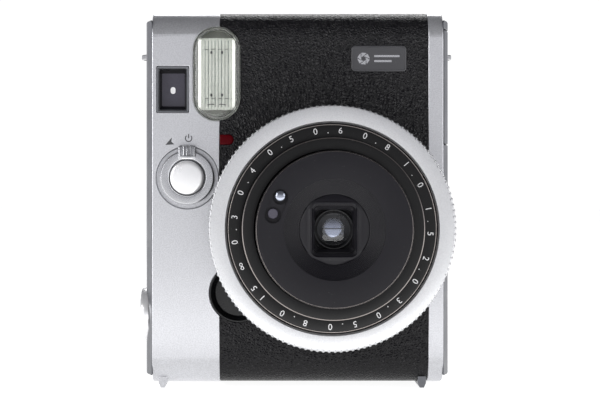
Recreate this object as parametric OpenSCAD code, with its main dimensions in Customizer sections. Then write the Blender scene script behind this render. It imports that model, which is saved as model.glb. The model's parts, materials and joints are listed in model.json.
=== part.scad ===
// Instant camera, mini format, with a telescoping lens and a two-tone body.
// x runs across the camera, y runs from the lens to the back, z runs up.
// Each module works in body coordinates: y = 0 is the front face, z = 0 is
// the surface that the camera stands on. place() moves all of it to the origin.

/* [Body] */
// Width over the two side panels
body_w = 91.9; // [88:0.1:120]
// Height from the feet to the top
body_h = 113.4; // [112:0.1:140]
// Depth of the body without the lens
body_d = 37.2; // [36:0.1:48]
// Thickness of each side panel
panel_t = 2.25; // [1.5:0.05:3]
// Radius of the upper and lower front edges
front_r = 8; // [4:0.5:10]
// Radius of the upper and lower rear edges
rear_r = 4; // [2:0.5:6]
// Depth of the front cover, as far as the seam
seam_d = 16; // [15:0.1:18]
// Wall of the front cover
cover_wall = 2.4; // [2:0.1:3]
// Wall of the rear housing
wall = 1.6; // [1.2:0.1:2.4]
// Depth of the recess for the leatherette
skin_recess = 0.8; // [0.5:0.1:1.2]
// Left edge of the leatherette
skin_left = -23.4; // [-28:0.1:-22]
// Right edge of the leatherette
skin_right = 39.2; // [36:0.1:41]
// Height of the feet
foot_h = 1.4; // [1:0.1:3]

/* [Lens] */
// Sideways place of the lens axis
lens_x = 9.5; // [8:0.1:10]
// Height of the lens axis
lens_z = 48.4; // [47:0.1:50]
// Outer radius of the outer barrel, which the other lens radii follow
barrel_outer_r = 25.8; // [21:0.1:26.5]
// Step in radius from the outer barrel to the inner barrel
barrel_step = 3.9; // [3:0.1:5]
// Width of the distance scale round the outer barrel
scale_w = 4.5; // [4:0.1:5]
// Width of the mode ring's face, with its knurl
ring_face_w = 5.4; // [4.5:0.1:6]
// How far the mode ring stands in front of the body
ring_front = 20; // [18:0.1:24]
// Length of the mode ring along the lens axis
ring_w = 8.6; // [6:0.1:10]
// Number of teeth in the knurl
knurl_count = 130; // [60:1:150]
// Depth of the knurl
knurl_depth = 0.55; // [0.3:0.05:0.8]
// Travel of each of the two barrel stages
stage_travel = 8; // [6:0.5:9]

/* [Controls] */
// Sideways place of the power lever and the shutter button
control_x = -33.1; // [-34:0.1:-31]
// Height of the power lever and the shutter button
control_z = 63.3; // [60:0.1:66]
// Radius of the round recess round the power lever
control_recess_r = 9.4; // [9:0.1:10]
// Outer radius of the power lever's ring
power_r = 8.15; // [7:0.05:8.6]
// Radius of the front shutter button
shutter_r = 5.05; // [4:0.05:5.5]
// Radius of the side shutter button
side_button_r = 8.05; // [6:0.05:8.5]
// Height of the side shutter button
side_button_z = 21.6; // [18:0.1:26]

/* [Film] */
// Width of the film chamber
chamber_w = 62.8; // [62:0.1:64]
// Height of the film chamber
chamber_h = 98.2; // [97:0.1:98.5]
// Thickness of the film door
door_t = 3; // [2.4:0.1:3.6]
// Radius of the ejection rollers
roller_r = 2.4; // [2:0.05:2.6]
// Gap between the two ejection rollers
roller_gap = 0.3; // [0.2:0.05:0.5]

/* [Windows] */
// Width of the viewfinder bezel
finder_w = 9.8; // [8:0.1:11]
// Height of the viewfinder bezel
finder_h = 13.9; // [11:0.1:15]
// Height of the middle of the viewfinder
finder_z = 89.8; // [87:0.1:92]
// Width of the flash cover
flash_w = 14.2; // [11.8:0.1:15]
// Height of the flash cover
flash_h = 28.3; // [22:0.1:30]
// Height of the middle of the flash cover
flash_z = 94.5; // [92:0.1:96]

/* [Fits] */
// Clearance between a part that moves and what it moves past
clear = 0.35; // [0.3:0.05:0.5]
// Radial clearance of a shaft in its bearing
run_clear = 0.05; // [0.03:0.01:0.1]
// Clearance round a part that is set into a recess
set_clear = 0.05; // [0.02:0.01:0.1]

/* [Hidden] */
$fn = 64;

// overall frame
barrel_front = ring_front + 2 * stage_travel;
origin_y = (body_d - barrel_front) / 2;
shell_x = body_w / 2 - panel_t;
shell_z = foot_h;
shell_h = body_h - foot_h;
tiny = 0.01;
through = 200;

// leatherette and its recess
skin_t = skin_recess - 0.1;

// lens group; what lies inside the inner barrel grows with it
ring_bore_r = barrel_outer_r + scale_w;
ring_r = ring_bore_r + ring_face_w;
ring_chamfer = 0.8;
base_front = ring_front - ring_w - 0.4;
base_r = ring_r - 1.7;
base_foot_r = ring_r - 4.2;
base_step = 4;
base_wall = 1.8;
base_chamfer = 0.5;
base_bore_r = barrel_outer_r + clear;
mount_hole_r = base_bore_r + 1;
seat_r = base_foot_r + 0.2;
sleeve_r = ring_bore_r - 2 * run_clear;
sleeve_front = ring_front - 1;
scale_t = 0.6;
scale_r = sleeve_r - 0.2;
outer_front = ring_front + stage_travel;
outer_len = 15.5;
outer_wall = barrel_step - 0.5;
barrel_inner_r = barrel_outer_r - barrel_step;
design_r = 21.9;
lens_unit = barrel_inner_r / design_r;
inner_len = 15.5;
inner_wall = 1.4;
edge_chamfer = 0.4;
face_t = 1.2;
cone_r = 14.1 * lens_unit;
cone_depth = 2.4;
cone_rim = 0.3;
cone_inner_r = 9.8 * lens_unit;
cone_back_t = 0.8;
cone_steps = 5;
hood_w = 15.2 * lens_unit;
hood_h = 15.8 * lens_unit;
hood_corner = 3 * lens_unit;
blade_t = 0.6;
blade_gap = 0.4;
blade_front = barrel_front - cone_depth - cone_back_t - blade_gap;
blade_w = hood_w + 1.6;
blade_travel = hood_h / 2 + 0.2;
blade_h = hood_h / 2 + 0.4;
baffle_front = blade_front - blade_t - blade_gap;
baffle_d = 4;
baffle_steps = 4;
baffle_step_d = 0.8;
baffle_r = 12.5 * lens_unit;
baffle_w = 11.6 * lens_unit;
baffle_h = 13.4 * lens_unit;
baffle_edge = 0.6;
baffle_corner = 2.6 * lens_unit;
lens_r = 4.8 * lens_unit;
lens_dome = 1;
lens_foot = 0.6;
unit_front = baffle_front - baffle_d;
unit_d = 4;
unit_r = 14.5 * lens_unit;
unit_bore_r = 3;
flange_front = 0.3;
flange_back = 1.5;
// angle round the lens axis and radius of each sensor well
sensors = [[148.9, 2.2], [166.5, 2.35]];
sensor_circle_r = (cone_r + barrel_inner_r) / 2 - 0.45;
sensor_depth = 0.9;
sensor_rim = 0.4;

// controls on the front
control_recess_d = 1.4;
power_front = 2;
power_web_t = 0.8;
power_back = 1;
power_tube_r = 3.4;
shutter_stem_r = 2.2;
shutter_front = 3.2;
shutter_head_t = 2;
shutter_chamfer = 0.6;
shutter_stem_end = 2.6;
power_chamfer = 0.4;
power_tube_end = 1.2;
thumb_w = 5.3;
thumb_r = 9.8;
thumb_rise = 0.6;
rib_count = 5;
rib_w = 0.4;
rib_pitch = 1;
finger_x = -17.7;
finger_z = 28.75;
finger_r = 8.85;
finger_floor_r = 7.1;
finger_d = 2.5;
finger_floor_t = 1;

// name plate and self-timer lamp
plate_x = 24.35;
plate_z = body_h - 14.4;
plate_w = 16.5;
plate_h = 7.8;
plate_corner = 1.2;
lamp_w = 4.2;
lamp_h = 3;
lamp_z = 74.7;

// side shutter button and side panels
side_button_y = 11.5;
side_button_out = 1.75;
side_button_lip = 0.6;
side_button_gap = 1.35;
side_stem_r = 2.5;
side_stem_in = 3.2;
panel_front = 0.5;
panel_back = body_d - 3.2;
panel_bottom = 3.9;
panel_top = body_h - 2.7;
panel_corner = 1;
bevel_d = 7.5;
cover_corner = 1;
lug_y = 18;
lug_z = body_h - 12.5;
lug_r = 4;
lug_t = 1.5;
lug_out = 2.25;
lug_pocket_r = 4.9;
lug_shank_x = shell_x - wall;
lug_shank_r = 1.5;
lug_eye_r = 1.05;
lug_eye_out = 0.5;
tripod_y = 9.8;
tripod_z = 57;
tripod_r = 5;
tripod_thread_r = 2.6;
tripod_depth = 5.5;
tripod_floor_t = 0.8;
foot_left_x = -40.6;
foot_right_x = 37.5;
foot_y0 = 2.6;
foot_y1 = 33;
foot_w = 2.5;
foot_embed = 2.4;
screw_places = [[-35, 30], [-4, 30], [30, 30], [-35, 20.5], [30, 20.5]];
screw_head_r = 1.5;
screw_head_t = 0.9;
screw_r = 0.75;
screw_len = 1.9;
screw_sunk = 0.3;
screw_slot_w = 0.4;

// battery and its door
battery_w = 40;
battery_h = 31;
battery_t = 6;
battery_y = 3.1;
battery_z = lens_z + 27.2;
battery_x = shell_x - cover_wall - battery_w + 1.2;
hatch_bottom = battery_z - 2;
hatch_top = battery_z + battery_h + 1.2;
hatch_axis_x = body_w / 2 - 0.95;
hatch_axis_y = 11.4;
hatch_knuckle_r = 0.95;
hatch_pin_r = 0.45;
hatch_pin_reach = 1.4;

// step in the light tunnel, behind the battery
tunnel_step = battery_y + battery_t + 0.4;
tunnel_wall = 1;
tunnel_front_r = 22.5;
tunnel_front_d = 4.2;
tunnel_mid_h = 26;
tunnel_half_w = 24.2;
tunnel_half_h = 32.2;
aperture_w = 46;
aperture_h = 62;

// film chamber and door
chamber_x = lens_x - chamber_w / 2;
chamber_z = 4.2;
chamber_front = seam_d + 1;
chamber_top = chamber_z + chamber_h;
column_right = chamber_x - 2;
door_front = body_d - door_t;
door_left = chamber_x - 0.9;
door_axis_x = shell_x - 2.4;
door_axis_y = body_d - 2.2;
door_knuckle_r = 2;
door_pin_r = 0.9;
door_bottom = 3;
door_top = chamber_top + 1.6;
door_pin_reach = 2;
grip_r = 0.8;
grip_z = 84;
grip_pitch = 3;
grip_count = 6;
grip_half_w = 13;
spring_w = 18;
spring_leaf_w = 12;
spring_h = 7;
spring_leaf_h = 4;
spring_t = 0.4;
spring_leaf_t = 1;
spring_z = [lens_z - 22, lens_z + 16];
window_x = lens_x + 20;
window_z = 44;
window_w = 8;
window_h = 22;
window_corner = 1.5;
latch_x = door_left + 5;
latch_z = 56;
latch_w = 5;
latch_h = 12;
latch_t = 0.85;
latch_corner = 1.2;
latch_slot = 16.5;
latch_slot_d = 1.2;
latch_slot_rise = 2;
latch_groove_r = 0.5;

// film ejector
roller_pocket_z = chamber_top + 1.5;
roller_pocket_top = body_h - 2.5;
roller_step = 2 * roller_r + roller_gap;
film_y = 18.4;
roller_z = roller_pocket_z + 3.3;
roller_x0 = chamber_x + 1.4;
roller_x1 = chamber_x + chamber_w - 1.4;
shaft_r = 1.2;
bracket_t = 1.6;
gear_module = roller_step / 12;
gear_x = chamber_x - 5.5;
gear_w = 1.8;
idler_teeth = 16;
pinion_teeth = 10;
roller_teeth = 12;
drive_tilt = 20;
idler_reach = gear_module * (roller_teeth + idler_teeth) / 2;
pinion_reach = idler_reach + gear_module * (idler_teeth + pinion_teeth) / 2;
front_roller_y = film_y - roller_step / 2;
rear_roller_y = film_y + roller_step / 2;
idler_y = rear_roller_y + idler_reach * cos(drive_tilt);
idler_z = roller_z - idler_reach * sin(drive_tilt);
pinion_y = rear_roller_y + pinion_reach * cos(drive_tilt);
pinion_z = roller_z - pinion_reach * sin(drive_tilt);
roller_turn = 0;
front_turn = mesh_turn(180, roller_turn, roller_teeth, roller_teeth);
idler_turn = mesh_turn(-drive_tilt, roller_turn, roller_teeth, idler_teeth);
pinion_turn = mesh_turn(-drive_tilt, idler_turn, idler_teeth, pinion_teeth);
gear_pin_r = 0.8;
gear_pin_reach = 1.4;
bracket_gap = 0.4;
bracket_side = 2.4;
motor_r = 3.5;
motor_plate_t = 1.2;
motor_top = pinion_z + motor_r + 1.5;
slot_y0 = film_y - 1.6;
slot_y1 = film_y + 1.6;
flap_x0 = roller_x0 - 0.6;
flap_x1 = roller_x1 + 0.6;
flap_axis_y = slot_y1 + 1.6;
flap_axis_z = body_h - 0.75;
flap_knuckle_r = 0.65;
flap_pin_r = 0.35;
flap_pin_reach = 1.3;
flap_t = 0.65;
flap_drop = 0.1;
flap_lap = 0.3;

// windows
finder_x = -shell_x + 6.25;
finder_rim = 0.75;
finder_depth = 3;
finder_stand = 0.3;
bezel_back = finder_depth + 1;
bezel_ledge = 0.75;
finder_pane_t = 0.8;
tube_wall = 0.8;
tube_gap = 0.3;
eyepiece_w = 11;
eyepiece_h = 14.6;
eyepiece_corner = 2;
eyepiece_lap = 2;
eyepiece_pane_w = 8.4;
eyepiece_pane_h = 11.4;
eyepiece_pane_corner = 1.6;
eyepiece_pane_d = 2.2;
eyepiece_pane_t = 0.8;
eyepiece_ledge = 1;
flash_x = skin_left - 0.9;
flash_r = flash_w / 2;
flash_d = 10;
flash_lip_t = 0.9;
flash_lip_front = 0.5;
flash_dome_front = 1.3;
flash_dome_inset = 1.6;
flash_skirt_inset = 1;
flash_skirt_d = 2.2;
flash_skirt_t = 1.2;
flash_floor_t = 0.8;
reflector_front = 2.4;
reflector_inset = 1.4;
reflector_short = 6.4;
reflector_corner = 2;
reflector_wall = 0.7;
tube_r = 1.3;
tube_y = 6;
tube_end = 4;
capacitor_r = 4.5;
capacitor_h = 26;
capacitor_y = 23;
capacitor_z = 46;
capacitor_in = 8;
lead_r = 0.4;
lead_h = 3;
lead_dx = 1.6;

// main circuit board, in front of the light tunnel's foot
board_z = chamber_z + 1;
board_h = 9.5;
board_x0 = lens_x - 28;
board_x1 = lens_x + 27;
board_y = 7;
board_t = 1.2;
chip_w = 8;
chip_h = 6;
chip_t = 1.4;
chip_pitch = 13;
chip_count = 4;

// rear controls
panel_x = (column_right - shell_x) / 2 + 0.2;
panel_w = column_right + shell_x - 2.6;
panel_z0 = 18;
panel_z1 = 79;
panel_recess = 0.6;
panel_lap = 0.2;
display_z = 63;
display_w = 13.6;
display_h = 22;
display_d = 1.5;
display_corner = 1;
key_front = 2.3;
key_gap = 0.3;
key_drop = 0.1;
key_flange_t = 0.8;
key_flange_w = 0.7;
round_key_r = 3.2;
round_key_z = 44;
pill_w = 6.4;
pill_h = 4;
pill_dx = 4.4;
pill_z = [35, 27];

// ---------------------------------------------------------------- helpers

// Moves body coordinates so that the origin is under the middle of the box
module place() {
  translate([0, -origin_y, 0]) children();
}

// A box given by its lowest and highest corners
module block(low, high) {
  translate(low) cube(high - low);
}

// A cylinder along y from y0 to y1
module rod_y(x, z, y0, y1, r) {
  translate([x, y1, z]) rotate([90, 0, 0]) cylinder(h = y1 - y0, r = r);
}

// A cylinder along x from x0 to x1
module rod_x(y, z, x0, x1, r) {
  translate([x0, y, z]) rotate([0, 90, 0]) cylinder(h = x1 - x0, r = r);
}

// A flat outline in x and z, thickened from y0 to y1
module slab_y(y0, y1) {
  translate([0, y1, 0]) rotate([90, 0, 0]) linear_extrude(y1 - y0) children();
}

// A profile of radius and depth, turned round an axis along y, depth forwards
module turn_y(x, z) {
  translate([x, 0, z]) rotate([90, 0, 0]) rotate_extrude($fn = 128) children();
}

// A rectangle round the origin with round corners
module soft_rect(w, h, r) {
  square([w - 2 * r, h], center = true);
  square([w, h - 2 * r], center = true);
  for (sx = [-1, 1], sz = [-1, 1])
    translate([sx * (w / 2 - r), sz * (h / 2 - r)]) circle(r = r);
}

// The side outline of the body in y and z, set in by the given amount
module body_outline(inset) {
  low = shell_z + inset;
  high = shell_z + shell_h - inset;
  rf = front_r - inset;
  rr = rear_r - min(inset, rear_r - 0.5);
  square_from([inset + rf, low], [body_d - inset - rr, high]);
  square_from([inset, low + rf], [body_d - inset, high - rf]);
  square_from([body_d - inset - rr - 1, low + rr], [body_d - inset, high - rr]);
  for (z = [low + rf, high - rf]) translate([inset + rf, z]) circle(r = rf);
  for (z = [low + rr, high - rr]) translate([body_d - inset - rr, z]) circle(r = rr);
}

// A rectangle given by its lowest and highest corners
module square_from(low, high) {
  translate(low) square(high - low);
}

// The body outline run along x from x0 to x1
module body_bar(x0, x1, inset) {
  translate([x0, 0, 0]) rotate([90, 0, 90]) linear_extrude(x1 - x0) body_outline(inset);
}

// Outline of a gear with straight-sided teeth; one tooth points along +x
function gear_points(teeth, m) =
  let (tip = m * teeth / 2 + 0.7 * m, root = m * teeth / 2 - 1.0 * m, step = 360 / teeth,
       half_root = 0.72 * m / (m * teeth / 2) * 57.3, half_tip = 0.3 * m / (m * teeth / 2) * 57.3)
  [for (i = [0 : teeth - 1], k = [0 : 3])
    let (a = i * step + [-half_root, -half_tip, half_tip, half_root][k],
         r = [root, tip, tip, root][k])
    [r * cos(a), r * sin(a)]];

// Turn of a gear that meshes, seen along the line at angle d from gear a to gear b
function mesh_turn(d, turn_a, teeth_a, teeth_b) =
  let (pitch_a = 360 / teeth_a, pitch_b = 360 / teeth_b,
       offset = (d - turn_a) / pitch_a - floor((d - turn_a) / pitch_a))
  d + 180 + (0.5 + offset) * pitch_b;

// A gear in the y-z plane, from x0 to x1, turned by the given angle
module gear_x_axis(y, z, x0, x1, teeth, turn) {
  translate([x0, y, z]) rotate([90, 0, 90]) rotate([0, 0, turn])
    linear_extrude(x1 - x0) polygon(gear_points(teeth, gear_module));
}

// Outline of a knurled rim
function knurl_points(r, depth, count) =
  [for (i = [0 : count - 1], k = [0 : 3])
    let (a = (i + [0, 0.28, 0.5, 0.78][k]) * 360 / count,
         rr = r - [depth, depth, 0, 0][k])
    [rr * cos(a), rr * sin(a)]];

// The stadium outline of the flash, set in by the given amount
module flash_outline(inset) {
  r = flash_r - inset;
  straight = flash_h / 2 - flash_r;
  translate([flash_x, flash_z]) {
    square([2 * r, 2 * straight], center = true);
    for (s = [-1, 1]) translate([0, s * straight]) circle(r = r);
  }
}

// The round recess and seat under the lens mount
module lens_seat(r, back) {
  rod_y(lens_x, lens_z, -1, back, r);
}

// ---------------------------------------------------------------- shells

// Openings that go through the front wall
module front_openings() {
  rod_y(lens_x, lens_z, -1, cover_wall + 1, mount_hole_r);
  slab_y(-1, bezel_back + 0.1) translate([finder_x, finder_z])
    square([finder_w, finder_h], center = true);
  slab_y(-1, cover_wall + 1) flash_outline(0);
  rod_y(control_x, control_z, -1, control_recess_d, control_recess_r);
  rod_y(control_x, control_z, -1, cover_wall + 1, power_tube_r + run_clear);
  rod_y(finger_x, finger_z, -1, cover_wall + finger_d, finger_r);
  slab_y(-1, cover_wall + 1) lamp_outline(0);
}

module front_cover() {
  color("silver") place() difference() {
    intersection() {
      body_bar(-shell_x, shell_x, 0);
      block([-shell_x, 0, 0], [shell_x, seam_d, body_h]);
      cover_corners();
    }
    body_bar(-shell_x + wall, shell_x - wall, cover_wall);
    skin_shell(-0.1, skin_recess);
    lens_seat(seat_r, skin_recess);
    front_openings();
    rod_x(side_button_y, side_button_z, -through, 0, side_stem_r + clear);
    rod_x(tripod_y, tripod_z, 0, through, tripod_r);
    hatch_opening();
  }
}

// The cover's outline from the front, with small corners
module cover_corners() {
  slab_y(0, seam_d) translate([0, shell_z + shell_h / 2])
    soft_rect(2 * shell_x, shell_h, cover_corner);
}

// The space between two depths under the body's skin, where the leatherette lies
module skin_shell(outer, inner) {
  difference() {
    block([skin_left, -1, 0], [skin_right, seam_d + 1, body_h + 1]);
    body_bar(skin_left - 1, skin_right + 1, inner);
  }
}

module leatherette() {
  color([0.12, 0.12, 0.13]) place() difference() {
    intersection() {
      body_bar(skin_left + set_clear, skin_right - set_clear, skin_recess - skin_t);
      block([skin_left, 0, 0], [skin_right, seam_d, body_h]);
    }
    body_bar(skin_left - 1, skin_right + 1, skin_recess);
    lens_seat(seat_r, skin_recess + 1);
    slab_y(-1, 3) flash_outline(-set_clear);
    slab_y(-1, 3) lamp_outline(-set_clear);
    rod_y(finger_x, finger_z, -1, 3, finger_r);
    slab_y(-1, 3) translate([plate_x, plate_z]) soft_rect(plate_w, plate_h, plate_corner);
  }
}

// Section of a side panel in x and y: flat outside, with a bevelled front edge
module panel_section() {
  x1 = body_w / 2;
  polygon([[shell_x, panel_front], [shell_x + 0.15, panel_front],
    [shell_x + 0.75 * panel_t, panel_front + 0.6 * bevel_d], [x1, panel_front + bevel_d],
    [x1, panel_back - 1], [x1 - 0.8, panel_back], [shell_x, panel_back]]);
}

// A whole side panel on the right
module side_panel() {
  intersection() {
    translate([0, 0, panel_bottom]) linear_extrude(panel_top - panel_bottom) panel_section();
    translate([shell_x - 1, (panel_front + panel_back) / 2, (panel_top + panel_bottom) / 2])
      rotate([90, 0, 90]) linear_extrude(panel_t + 2)
        soft_rect(panel_back - panel_front, panel_top - panel_bottom, panel_corner);
  }
}

// The round pocket round a strap lug
module lug_pocket() {
  rod_x(lug_y, lug_z, shell_x - 1, through, lug_pocket_r);
}

module side_panel_left() {
  color([0.42, 0.43, 0.45]) place() difference() {
    mirror([1, 0, 0]) side_panel();
    mirror([1, 0, 0]) lug_pocket();
    rod_x(side_button_y, side_button_z, -through, 0, side_button_r + clear);
  }
}

module side_panel_right() {
  color([0.42, 0.43, 0.45]) place() difference() {
    side_panel();
    lug_pocket();
    rod_x(tripod_y, tripod_z, 0, through, tripod_r);
    block([shell_x - 1, -1, hatch_bottom - clear],
      [body_w, hatch_axis_y + hatch_knuckle_r + clear, hatch_top + clear]);
    hatch_pin(hatch_pin_r + run_clear, hatch_pin_reach + 0.2);
  }
}

// The opening in the side wall that the battery goes through
module hatch_opening() {
  block([shell_x - cover_wall - 1, battery_y - 0.3, battery_z - 0.3],
    [shell_x + 1, battery_y + battery_t + 0.3, battery_z + battery_h + 0.3]);
}

// The pin of the battery door, reaching past both ends of the door
module hatch_pin(r, reach) {
  translate([hatch_axis_x, hatch_axis_y, hatch_bottom - reach])
    cylinder(h = hatch_top - hatch_bottom + 2 * reach, r = r);
}

module battery_door() {
  color([0.42, 0.43, 0.45]) place() {
    intersection() {
      side_panel();
      block([shell_x + clear, 0, hatch_bottom], [body_w, hatch_axis_y, hatch_top]);
    }
    translate([hatch_axis_x, hatch_axis_y, hatch_bottom])
      cylinder(h = hatch_top - hatch_bottom, r = hatch_knuckle_r);
    hatch_pin(hatch_pin_r, hatch_pin_reach);
  }
}

module rear_housing() {
  color([0.13, 0.13, 0.14]) place() difference() {
    intersection() {
      body_bar(-shell_x, shell_x, 0);
      block([-shell_x, seam_d, 0], [shell_x, body_d + 1, body_h + 1]);
    }
    // film chamber, with the seat of the light tunnel in front of it
    block([chamber_x, chamber_front - tiny, chamber_z],
      [chamber_x + chamber_w, body_d + 1, chamber_top]);
    block([chamber_x - 1, seam_d - 1, chamber_z - 1],
      [chamber_x + chamber_w + 1, chamber_front, chamber_top + 0.8]);
    // control column
    block([-shell_x + wall, seam_d - 1, chamber_z],
      [column_right, body_d - wall, roller_pocket_z]);
    // room for the motor above the column
    block([-shell_x + wall, seam_d - 1, roller_pocket_z - 1],
      [gear_x + gear_w + 0.5, body_d - wall, motor_top + 0.3]);
    // ejector space under the top wall
    block([-shell_x + wall, seam_d - 1, roller_pocket_z],
      [shell_x - wall, body_d - wall - rear_r / 2, roller_pocket_top]);
    // way for the film from the chamber to the top
    block([chamber_x + 3, film_y - 1.2, chamber_top - 1],
      [chamber_x + chamber_w - 3, film_y + 1.2, roller_pocket_z + 1]);
    block([roller_x0 + 1, slot_y0, roller_pocket_top - 1], [roller_x1 - 1, slot_y1, body_h + 1]);
    flap_space();
    door_space();
    rear_control_openings();
    for (s = [0, 1]) mirror([s, 0, 0]) rod_x(lug_y, lug_z, lug_shank_x, body_w, lug_shank_r);
    for (p = screw_places) screw_hole(p);
  }
}

// The recess that the exit flap closes, and its pivot holes
module flap_space() {
  block([flap_x0 - clear, slot_y0 - flap_lap - clear, flap_axis_z - clear],
    [flap_x1 + clear, flap_axis_y, body_h + 1]);
  rod_x(flap_axis_y, flap_axis_z, flap_x0 - clear, flap_x1 + clear, flap_knuckle_r + clear);
  block([flap_x0 - clear, flap_axis_y - tiny, flap_axis_z],
    [flap_x1 + clear, flap_axis_y + flap_knuckle_r + clear, body_h + 1]);
  rod_x(flap_axis_y, flap_axis_z, flap_x0 - flap_pin_reach - clear,
    flap_x1 + flap_pin_reach + clear, flap_pin_r + run_clear);
}

// The recess that the film door closes, with room for its knuckles and pins
module door_space() {
  block([door_left - clear, door_front - 0.1, door_bottom - clear],
    [door_axis_x, body_d + 1, door_top + clear]);
  block([door_axis_x - 2, door_axis_y - door_knuckle_r - clear, door_bottom - clear],
    [shell_x + 1, body_d + 1, door_top + clear]);
  translate([door_axis_x, door_axis_y, door_bottom - door_pin_reach - clear])
    cylinder(h = door_top - door_bottom + 2 * (door_pin_reach + clear),
      r = door_pin_r + run_clear);
}

// Openings in the back wall for the panel and the eyepiece
module rear_control_openings() {
  slab_y(body_d - wall - 1, body_d + 1) translate([panel_x, (panel_z0 + panel_z1) / 2])
    square([panel_w, panel_z1 - panel_z0], center = true);
  slab_y(body_d - wall - eyepiece_lap - 0.1, body_d + 1) translate([finder_x, finder_z])
    soft_rect(eyepiece_w, eyepiece_h, eyepiece_corner);
}

module screw_hole(p) {
  translate([p[0], p[1], 0]) {
    cylinder(h = shell_z + screw_sunk + screw_head_t, r = screw_head_r + 0.1);
    cylinder(h = shell_z + screw_sunk + 0.2 + screw_len, r = screw_r + set_clear);
  }
}

module housing_screws() {
  color([0.25, 0.25, 0.27]) place() for (p = screw_places) translate([p[0], p[1], 0])
    difference() {
      union() {
        translate([0, 0, shell_z + screw_sunk]) cylinder(h = screw_head_t, r = screw_head_r);
        translate([0, 0, shell_z + screw_sunk + 0.2]) cylinder(h = screw_len, r = screw_r);
      }
      for (a = [0, 90]) rotate([0, 0, a]) translate([0, 0, shell_z + screw_sunk])
        cube([1.2 * screw_head_r, screw_slot_w, screw_head_t - 0.1], center = true);
    }
}

// The black box between the lens and the film, with the exposure aperture
module light_tunnel() {
  step = tunnel_step;
  in_w = tunnel_half_w - tunnel_wall;
  in_h = tunnel_half_h - tunnel_wall;
  color([0.08, 0.08, 0.09]) place() difference() {
    union() {
      rod_y(lens_x, lens_z, cover_wall + 0.1, tunnel_front_d + tunnel_wall, tunnel_front_r);
      tunnel_box(tunnel_front_r, tunnel_mid_h, tunnel_front_d, step + tunnel_wall);
      tunnel_box(tunnel_half_w, tunnel_half_h, step, seam_d);
      block([chamber_x - 0.9, seam_d, chamber_z - 0.9],
        [chamber_x + chamber_w + 0.9, chamber_front, chamber_top + 0.7]);
    }
    rod_y(lens_x, lens_z, 0, 4, tunnel_front_r - 3.5);
    rod_y(lens_x, lens_z, cover_wall + 1, tunnel_front_d + 2, tunnel_front_r - tunnel_wall);
    tunnel_box(tunnel_front_r - tunnel_wall, tunnel_mid_h - tunnel_wall,
      tunnel_front_d + tunnel_wall, step + 2);
    tunnel_box(in_w, in_h, step + tunnel_wall, seam_d);
    tunnel_box(aperture_w / 2, aperture_h / 2, seam_d - 1, chamber_front + 1);
  }
}

// A box round the lens axis, given by its half width and half height
module tunnel_box(half_w, half_h, y0, y1) {
  block([lens_x - half_w, y0, lens_z - half_h], [lens_x + half_w, y1, lens_z + half_h]);
}

// ---------------------------------------------------------------- lens

module lens_mount_base() {
  pocket_r = base_bore_r + base_wall;
  pocket_front = base_front - base_wall;
  color([0.1, 0.1, 0.11]) place() turn_y(lens_x, lens_z) polygon([
    [base_bore_r, -skin_recess], [pocket_r, -skin_recess], [pocket_r, pocket_front],
    [base_r - base_wall, pocket_front], [base_r - base_wall, base_step + base_wall],
    [base_foot_r - base_wall, base_step + base_wall], [base_foot_r - base_wall, -skin_recess],
    [base_foot_r, -skin_recess], [base_foot_r, base_step],
    [base_r, base_step], [base_r, base_front - base_chamfer], [base_r - base_chamfer, base_front],
    [sleeve_r, base_front], [sleeve_r, sleeve_front], [base_bore_r, sleeve_front]]);
}

module scale_ring() {
  color([0.16, 0.16, 0.17]) place() turn_y(lens_x, lens_z)
    square_from([base_bore_r, sleeve_front], [scale_r, sleeve_front + scale_t]);
}

module mode_ring() {
  back = ring_front - ring_w;
  color("silver") place() difference() {
    translate([lens_x, -back, lens_z]) rotate([90, 0, 0])
      intersection() {
        linear_extrude(ring_w) polygon(knurl_points(ring_r, knurl_depth, knurl_count));
        union() {
          cylinder(h = ring_w - ring_chamfer, r = ring_r + 1);
          translate([0, 0, ring_w - ring_chamfer - tiny])
            cylinder(h = ring_chamfer + tiny, r1 = ring_r, r2 = ring_r - ring_chamfer, $fn = 128);
        }
      }
    rod_y(lens_x, lens_z, -through, through, ring_bore_r);
  }
}

module lens_barrel_outer() {
  color([0.1, 0.1, 0.11]) place() turn_y(lens_x, lens_z) difference() {
    square_from([barrel_outer_r - outer_wall, outer_front - outer_len],
      [barrel_outer_r, outer_front]);
    // chamfer on the front edge
    translate([barrel_outer_r, outer_front]) rotate(45) square(2 * edge_chamfer, center = true);
  }
}

// Round bars at the places of the two sensors, thinner than the wells by inset
module sensor_bars(y0, y1, inset) {
  for (s = sensors) rod_y(lens_x + sensor_circle_r * cos(s[0]),
    lens_z + sensor_circle_r * sin(s[0]), y0, y1, s[1] - inset);
}

module lens_barrel_inner() {
  r = barrel_inner_r;
  color([0.17, 0.17, 0.18]) place() difference() {
    turn_y(lens_x, lens_z) difference() {
      union() {
        square_from([r - inner_wall, barrel_front - inner_len], [r, barrel_front]);
        square_from([cone_r, barrel_front - face_t], [r, barrel_front]);
      }
      translate([r, barrel_front]) rotate(45) square(1.5 * edge_chamfer, center = true);
    }
    sensor_bars(-barrel_front - 1, -barrel_front + sensor_depth, 0);
  }
}

module sensor_windows() {
  color([0.25, 0.2, 0.3]) place()
    sensor_bars(-barrel_front + sensor_depth - 0.4, -barrel_front + sensor_depth, sensor_rim);
}

// A rectangle with round corners through the lens axis
module lens_window(w, h, r, y0, y1) {
  slab_y(y0, y1) translate([lens_x, lens_z]) soft_rect(w, h, r);
}

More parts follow.
